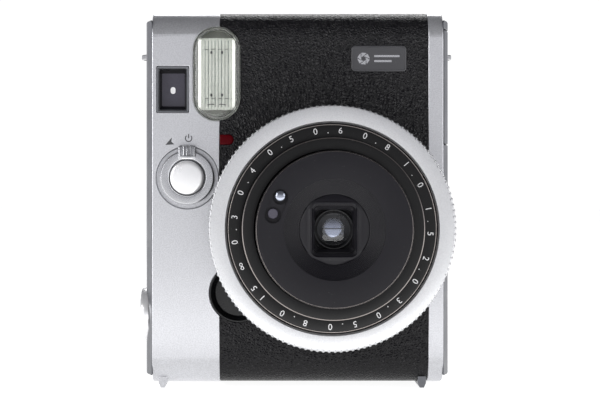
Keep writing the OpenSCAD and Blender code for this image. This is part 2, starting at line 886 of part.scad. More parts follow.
module lens_cone() {
  f = barrel_front;
  back = f - cone_depth - cone_back_t;
  flange_r = cone_r + 2.2;
  color([0.12, 0.12, 0.13]) place() difference() {
    turn_y(lens_x, lens_z) polygon(concat(
      [for (i = [0 : cone_steps - 1], k = [0, 1])
        let (s = (i + k) / cone_steps)
        [cone_r - set_clear - (cone_r - cone_inner_r) * s,
         f - cone_rim - (cone_depth - cone_rim) * (i / cone_steps)]],
      [[hood_w / 3, f - cone_depth], [hood_w / 3, back], [flange_r, back],
       [flange_r, f - face_t], [cone_r - set_clear, f - face_t]]));
    lens_window(hood_w, hood_h, hood_corner, -f - 1, -f + cone_depth + cone_back_t + 1);
  }
}

// Blade of the lens cover, above (side 1) or below (side -1) the lens
module lens_blade(side) {
  color([0.06, 0.06, 0.07]) place() slab_y(-blade_front, -blade_front + blade_t)
    translate([lens_x, lens_z + side * (blade_travel + set_clear + blade_h / 2)])
      square([blade_w, blade_h], center = true);
}

module lens_cover_upper() {
  lens_blade(1);
}

module lens_cover_lower() {
  lens_blade(-1);
}

module lens_baffle() {
  f = baffle_front;
  color([0.07, 0.07, 0.08]) place() difference() {
    turn_y(lens_x, lens_z) square_from([0, f - baffle_d], [baffle_r, f]);
    for (i = [0 : baffle_steps - 1]) {
      s = i / (baffle_steps - 1);
      lens_window((hood_w - baffle_edge) * (1 - s) + baffle_w * s,
        (hood_h - baffle_edge) * (1 - s) + baffle_h * s, baffle_corner,
        -f - 1, -f + baffle_step_d * (i + 1));
    }
    rod_y(lens_x, lens_z, -f, -f + baffle_d + 1, lens_r);
  }
}

module front_lens() {
  ball_r = (lens_r * lens_r + lens_dome * lens_dome) / (2 * lens_dome);
  color([0.5, 0.6, 0.75]) place() translate([lens_x, -unit_front - lens_foot, lens_z])
    rotate([90, 0, 0]) intersection() {
      translate([0, 0, lens_dome - ball_r]) sphere(r = ball_r, $fn = 96);
      translate([0, 0, -lens_foot]) cylinder(h = lens_foot + 2 * lens_dome, r = lens_r);
    }
}

module shutter_unit() {
  rim_r = barrel_inner_r - inner_wall;
  back = unit_front - unit_d;
  color([0.1, 0.1, 0.11]) place() turn_y(lens_x, lens_z) polygon([
    [unit_bore_r, back], [unit_r, back], [unit_r, unit_front - flange_back],
    [rim_r, unit_front - flange_back], [rim_r, unit_front - flange_front],
    [baffle_r, unit_front - flange_front], [baffle_r, unit_front], [unit_bore_r, unit_front]]);
}

// ---------------------------------------------------------------- front trim

module name_plate() {
  color([0.2, 0.2, 0.21]) place() slab_y(skin_recess - skin_t - 0.05, skin_recess)
    translate([plate_x, plate_z])
      soft_rect(plate_w - 2 * set_clear, plate_h - 2 * set_clear, plate_corner);
}

// A dished finger rest, cut away where the lens mount stands in front of it
module finger_rest() {
  r = finger_r - set_clear;
  back = finger_d + finger_floor_t;
  color([0.07, 0.07, 0.08]) place() difference() {
    turn_y(finger_x, finger_z) polygon([[0, -back], [r, -back], [r, 0], [r - 0.5, 0],
      [finger_floor_r, -finger_d], [0, -finger_d]]);
    lens_seat(seat_r, skin_recess + 0.2);
    lens_seat(mount_hole_r + 0.2, back + 1);
  }
}

// Outline of the lamp: square on the left, round on the right
module lamp_outline(inset) {
  r = lamp_h / 2 - inset;
  square_from([skin_left + inset, lamp_z - r], [skin_left + lamp_w - lamp_h / 2, lamp_z + r]);
  translate([skin_left + lamp_w - lamp_h / 2, lamp_z]) circle(r = r);
}

module self_timer_lamp() {
  color([0.55, 0.02, 0.06]) place() slab_y(0, cover_wall + 0.4) lamp_outline(set_clear);
}

module viewfinder_bezel() {
  w = finder_w - 2 * finder_rim;
  h = finder_h - 2 * finder_rim;
  color("silver") place() difference() {
    slab_y(-finder_stand, bezel_back) translate([finder_x, finder_z])
      square([finder_w - 2 * set_clear, finder_h - 2 * set_clear], center = true);
    slab_y(-1, finder_depth) translate([finder_x, finder_z]) square([w, h], center = true);
    slab_y(0, finder_depth + 2) translate([finder_x, finder_z])
      square([w - 2 * bezel_ledge, h - 2 * bezel_ledge], center = true);
  }
}

module viewfinder_window() {
  w = finder_w - 2 * finder_rim - 2 * set_clear;
  h = finder_h - 2 * finder_rim - 2 * set_clear;
  color([0.2, 0.18, 0.25]) place() slab_y(finder_depth - finder_pane_t, finder_depth)
    translate([finder_x, finder_z]) square([w, h], center = true);
}

module viewfinder_tube() {
  w = finder_w - 2 * tube_gap;
  h = finder_h - 2 * tube_gap;
  color([0.1, 0.1, 0.11]) place() difference() {
    slab_y(bezel_back, body_d - wall - eyepiece_lap) translate([finder_x, finder_z])
      square([w, h], center = true);
    slab_y(finder_depth, body_d) translate([finder_x, finder_z])
      square([w - 2 * tube_wall, h - 2 * tube_wall], center = true);
  }
}

module eyepiece_frame() {
  color([0.08, 0.08, 0.09]) place() difference() {
    slab_y(body_d - wall - eyepiece_lap, body_d) translate([finder_x, finder_z])
      soft_rect(eyepiece_w - 2 * set_clear, eyepiece_h - 2 * set_clear, eyepiece_corner);
    eyepiece_pocket(body_d - eyepiece_pane_d, 0);
    eyepiece_pocket(body_d - wall - eyepiece_lap - 1, eyepiece_ledge);
  }
}

// The opening in the eyepiece frame from y0 to the back, set in by the given amount
module eyepiece_pocket(y0, inset) {
  slab_y(y0, body_d + 1) translate([finder_x, finder_z])
    soft_rect(eyepiece_pane_w - 2 * inset, eyepiece_pane_h - 2 * inset,
      eyepiece_pane_corner - 0.4 * inset);
}

module eyepiece_lens() {
  color([0.35, 0.4, 0.45]) place() intersection() {
    slab_y(body_d - eyepiece_pane_d, body_d - eyepiece_pane_d + eyepiece_pane_t)
      translate([finder_x, finder_z]) square(2 * eyepiece_h, center = true);
    eyepiece_pocket(0, 2 * set_clear);
  }
}

module flash_housing() {
  color([0.85, 0.86, 0.84]) place() difference() {
    slab_y(flash_lip_t, flash_d) flash_outline(set_clear);
    slab_y(0, flash_d - flash_floor_t) flash_outline(flash_skirt_inset - 0.1);
  }
}

module flash_reflector() {
  w = 2 * (flash_r - reflector_inset);
  h = flash_h - reflector_short;
  color([0.9, 0.92, 0.9]) place() difference() {
    slab_y(reflector_front, flash_d - flash_floor_t) translate([flash_x, flash_z])
      soft_rect(w, h, reflector_corner);
    slab_y(1, flash_d - 2 * flash_floor_t - 0.4) translate([flash_x, flash_z])
      soft_rect(w - 2 * reflector_wall, h - 2 * reflector_wall, reflector_corner - reflector_wall);
  }
}

module flash_tube() {
  color([0.9, 0.9, 0.85]) place()
    translate([flash_x, tube_y, flash_z - flash_h / 2 + tube_end])
      cylinder(h = flash_h - 2 * tube_end, r = tube_r);
}

module flash_cover() {
  color([0.86, 0.9, 0.86]) place() difference() {
    union() {
      slab_y(-flash_lip_front, flash_lip_t) flash_outline(set_clear);
      slab_y(-flash_dome_front, 0) flash_outline(flash_dome_inset);
      slab_y(0, flash_skirt_d) flash_outline(flash_skirt_inset);
    }
    slab_y(0.1, 3) flash_outline(flash_skirt_inset + flash_skirt_t);
  }
}

module flash_capacitor() {
  color([0.15, 0.15, 0.2]) place()
    translate([column_right - capacitor_in, capacitor_y, capacitor_z]) {
      cylinder(h = capacitor_h, r = capacitor_r);
      for (s = [-1, 1]) translate([s * lead_dx, 0, capacitor_h])
        cylinder(h = lead_h, r = lead_r);
    }
}

module main_circuit_board() {
  face = board_y + board_t;
  chip_z = board_z + 2;
  color([0.1, 0.35, 0.2]) place() {
    block([board_x0, board_y, board_z], [board_x1, face, board_z + board_h]);
    for (i = [0 : chip_count - 1]) {
      x = board_x0 + 4 + chip_pitch * i;
      block([x, face, chip_z], [x + chip_w, face + chip_t, chip_z + chip_h]);
    }
  }
}

// ---------------------------------------------------------------- controls

module power_lever() {
  color([0.78, 0.78, 0.79]) place() difference() {
    union() {
      turn_y(control_x, control_z) polygon([
        [shutter_stem_r + clear, -cover_wall - power_tube_end],
        [power_tube_r, -cover_wall - power_tube_end],
        [power_tube_r, -power_back], [power_r, -power_back],
        [power_r, power_front - power_chamfer],
        [power_r - power_chamfer, power_front], [shutter_r + clear, power_front],
        [shutter_r + clear, -power_back + power_web_t],
        [shutter_stem_r + clear, -power_back + power_web_t]]);
      // thumb piece that reaches over the edge of the recess
      intersection() {
        block([control_x - thumb_w / 2, -power_front - thumb_rise, control_z],
          [control_x + thumb_w / 2, -0.4, control_z + thumb_r]);
        difference() {
          rod_y(control_x, control_z, -power_front - 1, 0, thumb_r);
          rod_y(control_x, control_z, -power_front - 2, 1, shutter_r + clear);
        }
      }
    }
    for (i = [0 : rib_count - 1])
      translate([control_x + (i - (rib_count - 1) / 2) * rib_pitch,
        -power_front - thumb_rise - 0.15, control_z + shutter_r + 1.6])
        cube([rib_w, 1.5 * rib_w, thumb_r]);
  }
}

module front_shutter_button() {
  color([0.86, 0.86, 0.87]) place() turn_y(control_x, control_z) polygon([
    [0, -cover_wall - shutter_stem_end], [shutter_stem_r, -cover_wall - shutter_stem_end],
    [shutter_stem_r, shutter_front - shutter_head_t], [shutter_r, shutter_front - shutter_head_t],
    [shutter_r, shutter_front - 0.4], [shutter_r - shutter_chamfer, shutter_front],
    [0, shutter_front]]);
}

module side_shutter_button() {
  x0 = -body_w / 2 - side_button_out;
  color([0.8, 0.8, 0.81]) place() {
    rod_x(side_button_y, side_button_z, x0 + 0.5, -shell_x - side_button_gap, side_button_r);
    rod_x(side_button_y, side_button_z, x0, x0 + 1, side_button_r - side_button_lip);
    rod_x(side_button_y, side_button_z, x0 + 1, -shell_x + side_stem_in, side_stem_r);
  }
}

module strap_lugs() {
  color([0.7, 0.7, 0.72]) place() for (s = [0, 1]) mirror([s, 0, 0]) difference() {
    union() {
      translate([body_w / 2 + lug_out - lug_r, lug_y, lug_z - lug_t / 2])
        cylinder(h = lug_t, r = lug_r);
      rod_x(lug_y, lug_z, lug_shank_x, shell_x + 0.5, lug_shank_r);
    }
    difference() {
      block([lug_shank_x - lug_r, 0, 0], [shell_x, body_d, body_h]);
      rod_x(lug_y, lug_z, lug_shank_x, shell_x + 1, lug_shank_r);
    }
    translate([body_w / 2 + lug_eye_out, lug_y, 0]) cylinder(h = through, r = lug_eye_r);
  }
}

// Threaded insert; the bore is cut at the minor radius of a quarter-inch thread
module tripod_socket() {
  x1 = body_w / 2;
  color([0.75, 0.75, 0.77]) place() difference() {
    rod_x(tripod_y, tripod_z, x1 - tripod_depth - tripod_floor_t, x1, tripod_r);
    rod_x(tripod_y, tripod_z, x1 - tripod_depth, x1 + 1, tripod_thread_r);
  }
}

// A foot: a rail with sloping sides, whose top follows the body
module foot(x) {
  top = foot_h + foot_embed;
  half_w = foot_w / 2;
  difference() {
    translate([x, foot_y1, 0]) rotate([90, 0, 0]) linear_extrude(foot_y1 - foot_y0)
      polygon([[-foot_w / 4, 0], [foot_w / 4, 0], [half_w, foot_h], [half_w, top],
        [-half_w, top], [-half_w, foot_h]]);
    body_bar(x - foot_w, x + foot_w, 0);
  }
}

module foot_left() {
  color("silver") place() foot(foot_left_x);
}

module foot_right() {
  color([0.2, 0.2, 0.21]) place() foot(foot_right_x);
}

module battery() {
  color([0.2, 0.22, 0.25]) place()
    block([battery_x, battery_y, battery_z],
      [battery_x + battery_w, battery_y + battery_t, battery_z + battery_h]);
}

// ---------------------------------------------------------------- rear controls

// Outline of one rear key, grown by the given amount
module key_outline(x, z, w, h, grow) {
  translate([x, z]) soft_rect(w + 2 * grow, h + 2 * grow, h / 2 + grow - 0.01);
}

// A rear key with a flange that keeps it behind the panel
module key(x, z, w, h) {
  back = body_d - key_drop;
  color([0.3, 0.3, 0.32]) place() {
    slab_y(back - key_front, back) key_outline(x, z, w, h, 0);
    slab_y(back - key_front - key_flange_t, back - key_front)
      key_outline(x, z, w, h, key_flange_w);
  }
}

module control_panel() {
  color([0.1, 0.1, 0.11]) place() difference() {
    slab_y(body_d - wall - panel_lap, body_d - panel_recess)
      translate([panel_x, (panel_z0 + panel_z1) / 2])
        square([panel_w - 2 * set_clear, panel_z1 - panel_z0 - 2 * set_clear], center = true);
    slab_y(body_d - display_d, body_d) translate([panel_x, display_z])
      soft_rect(display_w, display_h, display_corner);
    slab_y(body_d - 5, body_d + 1)
      key_outline(panel_x, round_key_z, 2 * round_key_r, 2 * round_key_r, key_gap);
    for (s = [-1, 1], z = pill_z)
      slab_y(body_d - 5, body_d + 1) key_outline(panel_x + s * pill_dx, z, pill_w, pill_h, key_gap);
  }
}

module display_window() {
  color([0.35, 0.4, 0.38]) place() slab_y(body_d - display_d, body_d - panel_recess)
    translate([panel_x, display_z])
      soft_rect(display_w - 2 * set_clear, display_h - 2 * set_clear, display_corner);
}

module mode_button() {
  key(panel_x, round_key_z, 2 * round_key_r, 2 * round_key_r);
}

module flash_button() {
  key(panel_x - pill_dx, pill_z[0], pill_w, pill_h);
}

module macro_button() {
  key(panel_x + pill_dx, pill_z[0], pill_w, pill_h);
}

module timer_button() {
  key(panel_x - pill_dx, pill_z[1], pill_w, pill_h);
}

module brightness_button() {
  key(panel_x + pill_dx, pill_z[1], pill_w, pill_h);
}

// ---------------------------------------------------------------- film door

module film_door() {
  color([0.13, 0.13, 0.14]) place() difference() {
    union() {
      intersection() {
        body_bar(door_left, door_axis_x, 0);
        block([door_left, door_front, door_bottom], [door_axis_x, body_d, door_top]);
      }
      translate([door_axis_x, door_axis_y, door_bottom])
        cylinder(h = door_top - door_bottom, r = door_knuckle_r);
      translate([door_axis_x, door_axis_y, door_bottom - door_pin_reach])
        cylinder(h = door_top - door_bottom + 2 * door_pin_reach, r = door_pin_r);
    }
    slab_y(door_front - 1, body_d + 1) translate([window_x, window_z])
      soft_rect(window_w, window_h, window_corner);
    slab_y(body_d - latch_slot_d, body_d + 1) translate([latch_x, latch_z + latch_slot_rise])
      soft_rect(latch_w + 2 * clear, latch_slot + 2 * clear, latch_corner + clear);
    // long shallow grooves across the door
    for (i = [0 : grip_count - 1]) rod_x(body_d + 0.5, grip_z + grip_pitch * i,
      lens_x + 1 - grip_half_w, lens_x + 1 + grip_half_w, grip_r);
  }
}

module film_window() {
  color([0.3, 0.3, 0.25]) place() slab_y(door_front + 0.6, body_d - 0.3)
    translate([window_x, window_z])
      soft_rect(window_w - 2 * set_clear, window_h - 2 * set_clear, window_corner);
}

// Two leaf springs inside the door that press the film pack forwards
module film_springs() {
  leaf_front = door_front - spring_t - spring_leaf_t;
  leaf_rise = (spring_h - spring_leaf_h) / 2;
  color([0.7, 0.7, 0.72]) place() for (z = spring_z) {
    block([lens_x - spring_w / 2, door_front - spring_t, z],
      [lens_x + spring_w / 2, door_front, z + spring_h]);
    block([lens_x - spring_leaf_w / 2, leaf_front, z + leaf_rise],
      [lens_x + spring_leaf_w / 2, door_front - spring_t, z + leaf_rise + spring_leaf_h]);
  }
}

module door_latch() {
  color([0.3, 0.3, 0.32]) place() difference() {
    slab_y(body_d - latch_t, body_d) translate([latch_x, latch_z])
      soft_rect(latch_w, latch_h, latch_corner);
    for (i = [-2 : 2]) rod_x(body_d + latch_groove_r / 2, latch_z + 2 * i,
      latch_x - latch_w, latch_x + latch_w, latch_groove_r);
  }
}

// ---------------------------------------------------------------- film ejector

module exit_flap() {
  color([0.12, 0.12, 0.13]) place() {
    block([flap_x0, slot_y0 - flap_lap, body_h - flap_drop - flap_t],
      [flap_x1, flap_axis_y, body_h - flap_drop]);
    rod_x(flap_axis_y, flap_axis_z, flap_x0, flap_x1, flap_knuckle_r);
    rod_x(flap_axis_y, flap_axis_z, flap_x0 - flap_pin_reach, flap_x1 + flap_pin_reach,
      flap_pin_r);
  }
}

module roller_brackets() {
  color([0.6, 0.6, 0.62]) place() difference() {
    for (x = [roller_x0 - bracket_gap - bracket_t, roller_x1 + bracket_gap])
      block([x, front_roller_y - bracket_side, roller_pocket_z],
        [x + bracket_t, rear_roller_y + bracket_side, roller_pocket_top]);
    for (y = [front_roller_y, rear_roller_y])
      rod_x(y, roller_z, -body_w, body_w, shaft_r + run_clear);
  }
}

// Roller with its shaft and its gear
module roller(y, turn) {
  rod_x(y, roller_z, roller_x0, roller_x1, roller_r);
  rod_x(y, roller_z, gear_x, roller_x1 + bracket_gap + bracket_t, shaft_r);
  gear_x_axis(y, roller_z, gear_x, gear_x + gear_w, roller_teeth, turn);
}

module front_roller() {
  color([0.5, 0.5, 0.52]) place() roller(front_roller_y, front_turn);
}

module rear_roller() {
  color([0.5, 0.5, 0.52]) place() roller(rear_roller_y, roller_turn);
}

// A small gear with the pin that it turns on
module pinned_gear(y, z, teeth, turn) {
  gear_x_axis(y, z, gear_x, gear_x + gear_w, teeth, turn);
  rod_x(y, z, gear_x - gear_pin_reach, gear_x + 0.5, gear_pin_r);
}

module idler_gear() {
  color([0.85, 0.83, 0.75]) place() pinned_gear(idler_y, idler_z, idler_teeth, idler_turn);
}

module motor_pinion() {
  color([0.8, 0.7, 0.4]) place() pinned_gear(pinion_y, pinion_z, pinion_teeth, pinion_turn);
}

module eject_motor() {
  x1 = gear_x - 0.5;
  color([0.65, 0.65, 0.67]) place() difference() {
    union() {
      rod_x(pinion_y, pinion_z, -shell_x + wall + 0.2, x1 - 1, motor_r);
      block([x1 - motor_plate_t, idler_y - 2, pinion_z - motor_r],
        [x1, body_d - wall, motor_top]);
    }
    rod_x(idler_y, idler_z, x1 - 2, x1 + 1, gear_pin_r + run_clear);
    rod_x(pinion_y, pinion_z, x1 - 2, x1 + 1, gear_pin_r + run_clear);
  }
}

front_cover();
leatherette();
side_panel_left();
side_panel_right();
rear_housing();
light_tunnel();
lens_mount_base();
scale_ring();
mode_ring();
lens_barrel_outer();
lens_barrel_inner();
lens_cone();
lens_baffle();
front_lens();
shutter_unit();
sensor_windows();
lens_cover_upper();
lens_cover_lower();
name_plate();
finger_rest();
self_timer_lamp();
viewfinder_bezel();
viewfinder_window();
viewfinder_tube();
eyepiece_frame();
eyepiece_lens();
flash_housing();
flash_reflector();
flash_tube();
flash_cover();
flash_capacitor();
power_lever();
front_shutter_button();
side_shutter_button();
battery();
battery_door();
tripod_socket();
strap_lugs();
foot_left();
foot_right();
housing_screws();
control_panel();
display_window();
mode_button();
flash_button();
macro_button();
timer_button();
brightness_button();
film_door();
film_window();
film_springs();
door_latch();
exit_flap();
roller_brackets();
front_roller();
rear_roller();
idler_gear();
motor_pinion();
eject_motor();
main_circuit_board();
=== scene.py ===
"""Looks of a mini-format instant camera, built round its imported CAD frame."""
import json
import math

import bmesh
import bpy
from mathutils import Matrix, Vector


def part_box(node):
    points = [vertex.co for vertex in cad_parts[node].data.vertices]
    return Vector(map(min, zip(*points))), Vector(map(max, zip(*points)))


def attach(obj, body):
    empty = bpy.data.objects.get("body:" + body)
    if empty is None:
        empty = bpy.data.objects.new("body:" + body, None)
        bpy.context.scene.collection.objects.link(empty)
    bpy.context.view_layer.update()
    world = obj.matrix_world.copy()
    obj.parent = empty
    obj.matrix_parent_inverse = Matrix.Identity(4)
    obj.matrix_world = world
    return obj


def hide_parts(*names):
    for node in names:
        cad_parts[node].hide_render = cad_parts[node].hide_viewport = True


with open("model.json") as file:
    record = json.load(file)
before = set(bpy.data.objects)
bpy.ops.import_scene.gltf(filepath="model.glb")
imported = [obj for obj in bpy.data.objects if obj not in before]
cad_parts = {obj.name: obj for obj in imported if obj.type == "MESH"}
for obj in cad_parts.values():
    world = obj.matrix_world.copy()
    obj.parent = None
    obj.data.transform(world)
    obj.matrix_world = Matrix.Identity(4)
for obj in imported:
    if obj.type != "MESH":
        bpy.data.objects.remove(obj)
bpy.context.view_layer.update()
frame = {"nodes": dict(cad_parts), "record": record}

MM = 0.001
TURN = 2 * math.pi
NODES = frame["nodes"]
BODY_OF = {n: body for body, names in frame["record"]["behaviour"]["bodies"].items() for n in names}


# ---------------------------------------------------------------- places from the frame

def box_mm(node):
    """Lowest and highest corner of a CAD node, in millimetres."""
    low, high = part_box(node)
    return low / MM, high / MM


def middle_mm(node):
    """Middle of a CAD node's box, in millimetres."""
    low, high = box_mm(node)
    return (low + high) / 2


def size_mm(node):
    """Width and height of a CAD node's box, in millimetres."""
    low, high = box_mm(node)
    return high.x - low.x, high.z - low.z


def radius_mm(node):
    """Half the width of a round CAD node, in millimetres."""
    return size_mm(node)[0] / 2


FACE_Y = box_mm("front_cover")[0].y
LENS = middle_mm("mode_ring")
RING_FRONT = box_mm("mode_ring")[0].y
RING_BACK = box_mm("mode_ring")[1].y
RING_R = radius_mm("mode_ring")
SHUTTER = middle_mm("front_shutter_button")
FLASH = middle_mm("flash_cover")
FINDER = middle_mm("viewfinder_bezel")
PLATE = middle_mm("name_plate")


# ---------------------------------------------------------------- shader groups

def set_sockets(tree, node, inputs):
    """Gives a node's inputs plain values, or joins them to other nodes' outputs."""
    for key, value in inputs.items():
        if isinstance(value, bpy.types.NodeSocket):
            tree.links.new(value, node.inputs[key])
        else:
            node.inputs[key].default_value = value


def add_node(tree, kind, inputs=(), **settings):
    """Adds a shader or geometry node with its properties and then its inputs."""
    node = tree.nodes.new(kind)
    for key, value in settings.items():
        setattr(node, key, value)
    set_sockets(tree, node, dict(inputs))
    return node


def spaced(values):
    """Keyword values under their socket names, with spaces for underscores."""
    return {key.replace("_", " "): value for key, value in values.items()}


def new_group(name, inputs, outputs):
    """A shader node group with named float inputs and outputs, and its two end nodes."""
    tree = bpy.data.node_groups.new(name, "ShaderNodeTree")
    for label, default in inputs:
        socket = tree.interface.new_socket(name=label, in_out="INPUT",
                                           socket_type="NodeSocketFloat")
        socket.default_value = default
    for label in outputs:
        tree.interface.new_socket(name=label, in_out="OUTPUT", socket_type="NodeSocketFloat")
    return tree, tree.nodes.new("NodeGroupInput"), tree.nodes.new("NodeGroupOutput")


def ranged(tree, value, low, high, to_low=0.0, to_high=1.0):
    """Maps a value from one range to another, smoothly and clamped."""
    return add_node(tree, "ShaderNodeMapRange", {
        "Value": value, "From Min": low, "From Max": high, "To Min": to_low, "To Max": to_high},
        interpolation_type="SMOOTHSTEP").outputs["Result"]


def pattern_base(tree, size):
    """Object coordinates, and the texture scale for a pattern size in millimetres."""
    place = add_node(tree, "ShaderNodeTexCoord").outputs["Object"]
    scale = add_node(tree, "ShaderNodeMath", {0: 1 / MM, 1: size}, operation="DIVIDE")
    return place, scale.outputs[0]


def add_noise(tree, place, scale, detail, **values):
    """A noise texture node."""
    return add_node(tree, "ShaderNodeTexNoise", {
        "Vector": place, "Scale": scale, "Detail": detail, **values}).outputs


def make_grain_group():
    """Fine speckle of sprayed paint, blasted metal or moulded plastic."""
    tree, start, end = new_group("Fine grain", [("Grain size", 0.2)], ["Speckle", "Height"])
    place, scale = pattern_base(tree, start.outputs["Grain size"])
    height = add_noise(tree, place, scale, 2.0, Roughness=0.6)["Fac"]
    set_sockets(tree, end, {"Speckle": ranged(tree, height, 0.3, 0.7), "Height": height})
    return tree


def make_handling_group():
    """Slow, uneven change over a surface: handling marks and thin dust."""
    tree, start, end = new_group("Handling", [("Patch size", 12.0)], ["Smudge", "Dust"])
    place, scale = pattern_base(tree, start.outputs["Patch size"])
    patches = add_noise(tree, place, scale, 3.0, Roughness=0.65, Distortion=0.4)["Fac"]
    specks = add_noise(tree, place, 2600.0, 1.0)["Fac"]
    set_sockets(tree, end, {"Smudge": ranged(tree, patches, 0.35, 0.7),
                            "Dust": ranged(tree, specks, 0.74, 0.8)})
    return tree


def make_pebble_group():
    """Pebbled grain of leatherette: rounded islands parted by creases, and a mask for painted shade
    in the creases.
    """
    tree, start, end = new_group("Pebble grain", [("Pebble size", 1.0)], ["Crown", "Crease shade"])
    place, scale = pattern_base(tree, start.outputs["Pebble size"])
    warp = add_noise(tree, place, 700.0, 2.0)["Color"]
    push = add_node(tree, "ShaderNodeVectorMath", {0: warp, 1: (0.0011, 0.0011, 0.0011), 2: place},
                    operation="MULTIPLY_ADD")
    edge = add_node(tree, "ShaderNodeTexVoronoi", {"Vector": push.outputs[0], "Scale": scale},
                    feature="DISTANCE_TO_EDGE").outputs["Distance"]
    fine = add_noise(tree, place, 3200.0, 3.0)["Fac"]
    crown = add_node(tree, "ShaderNodeMath", {0: fine, 1: 0.25, 2: ranged(tree, edge, 0.0, 0.42)},
                     operation="MULTIPLY_ADD")
    set_sockets(tree, end, {"Crown": crown.outputs[0], "Crease shade": ranged(tree, edge, 0.12, 0.0)})
    return tree


GRAIN = make_grain_group()
HANDLING = make_handling_group()
PEBBLE = make_pebble_group()


# ---------------------------------------------------------------- materials

DUST = (0.55, 0.55, 0.54, 1.0)


def use_group(tree, group, **values):
    """Places a shader group in a material with its own values and returns its outputs."""
    return add_node(tree, "ShaderNodeGroup", spaced(values), node_tree=group).outputs


def mixed(tree, mask, low, high):
    """Colour between two colours, by a mask."""
    return add_node(tree, "ShaderNodeMix", {"Factor": mask, "A": low, "B": high},
                    data_type="RGBA").outputs["Result"]


def bare_material(name, **values):
    """A material with a Principled shader whose constants sit on its own sockets."""
    material = bpy.data.materials.new(name)
    material.use_nodes = True
    tree = material.node_tree
    shader = tree.nodes["Principled BSDF"]
    set_sockets(tree, shader, spaced(values))
    return material, tree, shader


def dress(tree, shader, base, marks, rough, height=None, depth=0.0):
    """Joins a colour, an uneven gloss and a bump of a depth in millimetres to a shader."""
    gloss = ranged(tree, marks["Smudge"], 0.0, 1.0, *rough)
    set_sockets(tree, shader, {"Base Color": base, "Roughness": gloss})
    if depth:
        bump = add_node(tree, "ShaderNodeBump", {
            "Height": height, "Strength": 1.0, "Distance": depth * MM})
        set_sockets(tree, shader, {"Normal": bump.outputs["Normal"]})


def finish(name, colour, spread, grain, depth, rough, dust=0.0, patch=12.0, **sockets):
    """Paint, metal or plastic with speckle, uneven gloss and a fine bump.

    grain and depth are in millimetres, spread is how much the colour varies."""
    material, tree, shader = bare_material(name, **sockets)
    speckle = use_group(tree, GRAIN, Grain_size=grain)
    marks = use_group(tree, HANDLING, Patch_size=patch)
    dark = [c * (1 - spread) for c in colour]
    light = [min(1.0, c * (1 + spread)) for c in colour]
    base = mixed(tree, speckle["Speckle"], (*dark, 1.0), (*light, 1.0))
    if dust:
        amount = add_node(tree, "ShaderNodeMath", {0: marks["Dust"], 1: dust},
                          operation="MULTIPLY")
        base = mixed(tree, amount.outputs[0], base, DUST)
    dress(tree, shader, base, marks, rough, speckle["Height"], depth)
    return material


def make_leatherette():
    """Black pebbled leatherette with painted shade darkening its creases, and a soft sheen on the
    crowns.
    """
    material, tree, shader = bare_material("Leatherette", IOR=1.5, Specular_IOR_Level=0.3)
    pebble = use_group(tree, PEBBLE, Pebble_size=0.85)
    marks = use_group(tree, HANDLING, Patch_size=18.0)
    # painted shade: the crease mask makes the colour darker in the creases between the pebbles
    base = mixed(tree, pebble["Crease shade"], (0.004, 0.0036, 0.0055, 1.0), (0.0008, 0.0008, 0.001, 1.0))
    dress(tree, shader, base, marks, (0.285, 0.305), pebble["Crown"], 0.2)
    return material


def make_glass(name, tint, rough, ior):
    """Clear or tinted glass or plastic with faint surface marks."""
    material, tree, shader = bare_material(name, Transmission_Weight=1.0, IOR=ior)
    marks = use_group(tree, HANDLING, Patch_size=3.0)
    faint = [c * 0.97 for c in tint]
    base = mixed(tree, marks["Smudge"], (*faint, 1.0), (*tint, 1.0))
    dress(tree, shader, base, marks, (rough, rough + 0.02))
    return material


def make_glowing_diffuser():
    """Bright pressed plastic behind the flash cover, with a painted glow: it emits light, though no
    lamp lights it.
    """
    # painted glow: the emission makes the diffuser shine, though the flash does not fire
    material, tree, shader = bare_material("Fluted diffuser", IOR=1.49, Emission_Strength=0.3)
    marks = use_group(tree, HANDLING, Patch_size=5.0)
    tone = mixed(tree, marks["Smudge"], (0.62, 0.635, 0.60, 1.0), (0.68, 0.69, 0.655, 1.0))
    dress(tree, shader, tone, marks, (0.12, 0.22))
    set_sockets(tree, shader, {"Emission Color": tone})
    return material


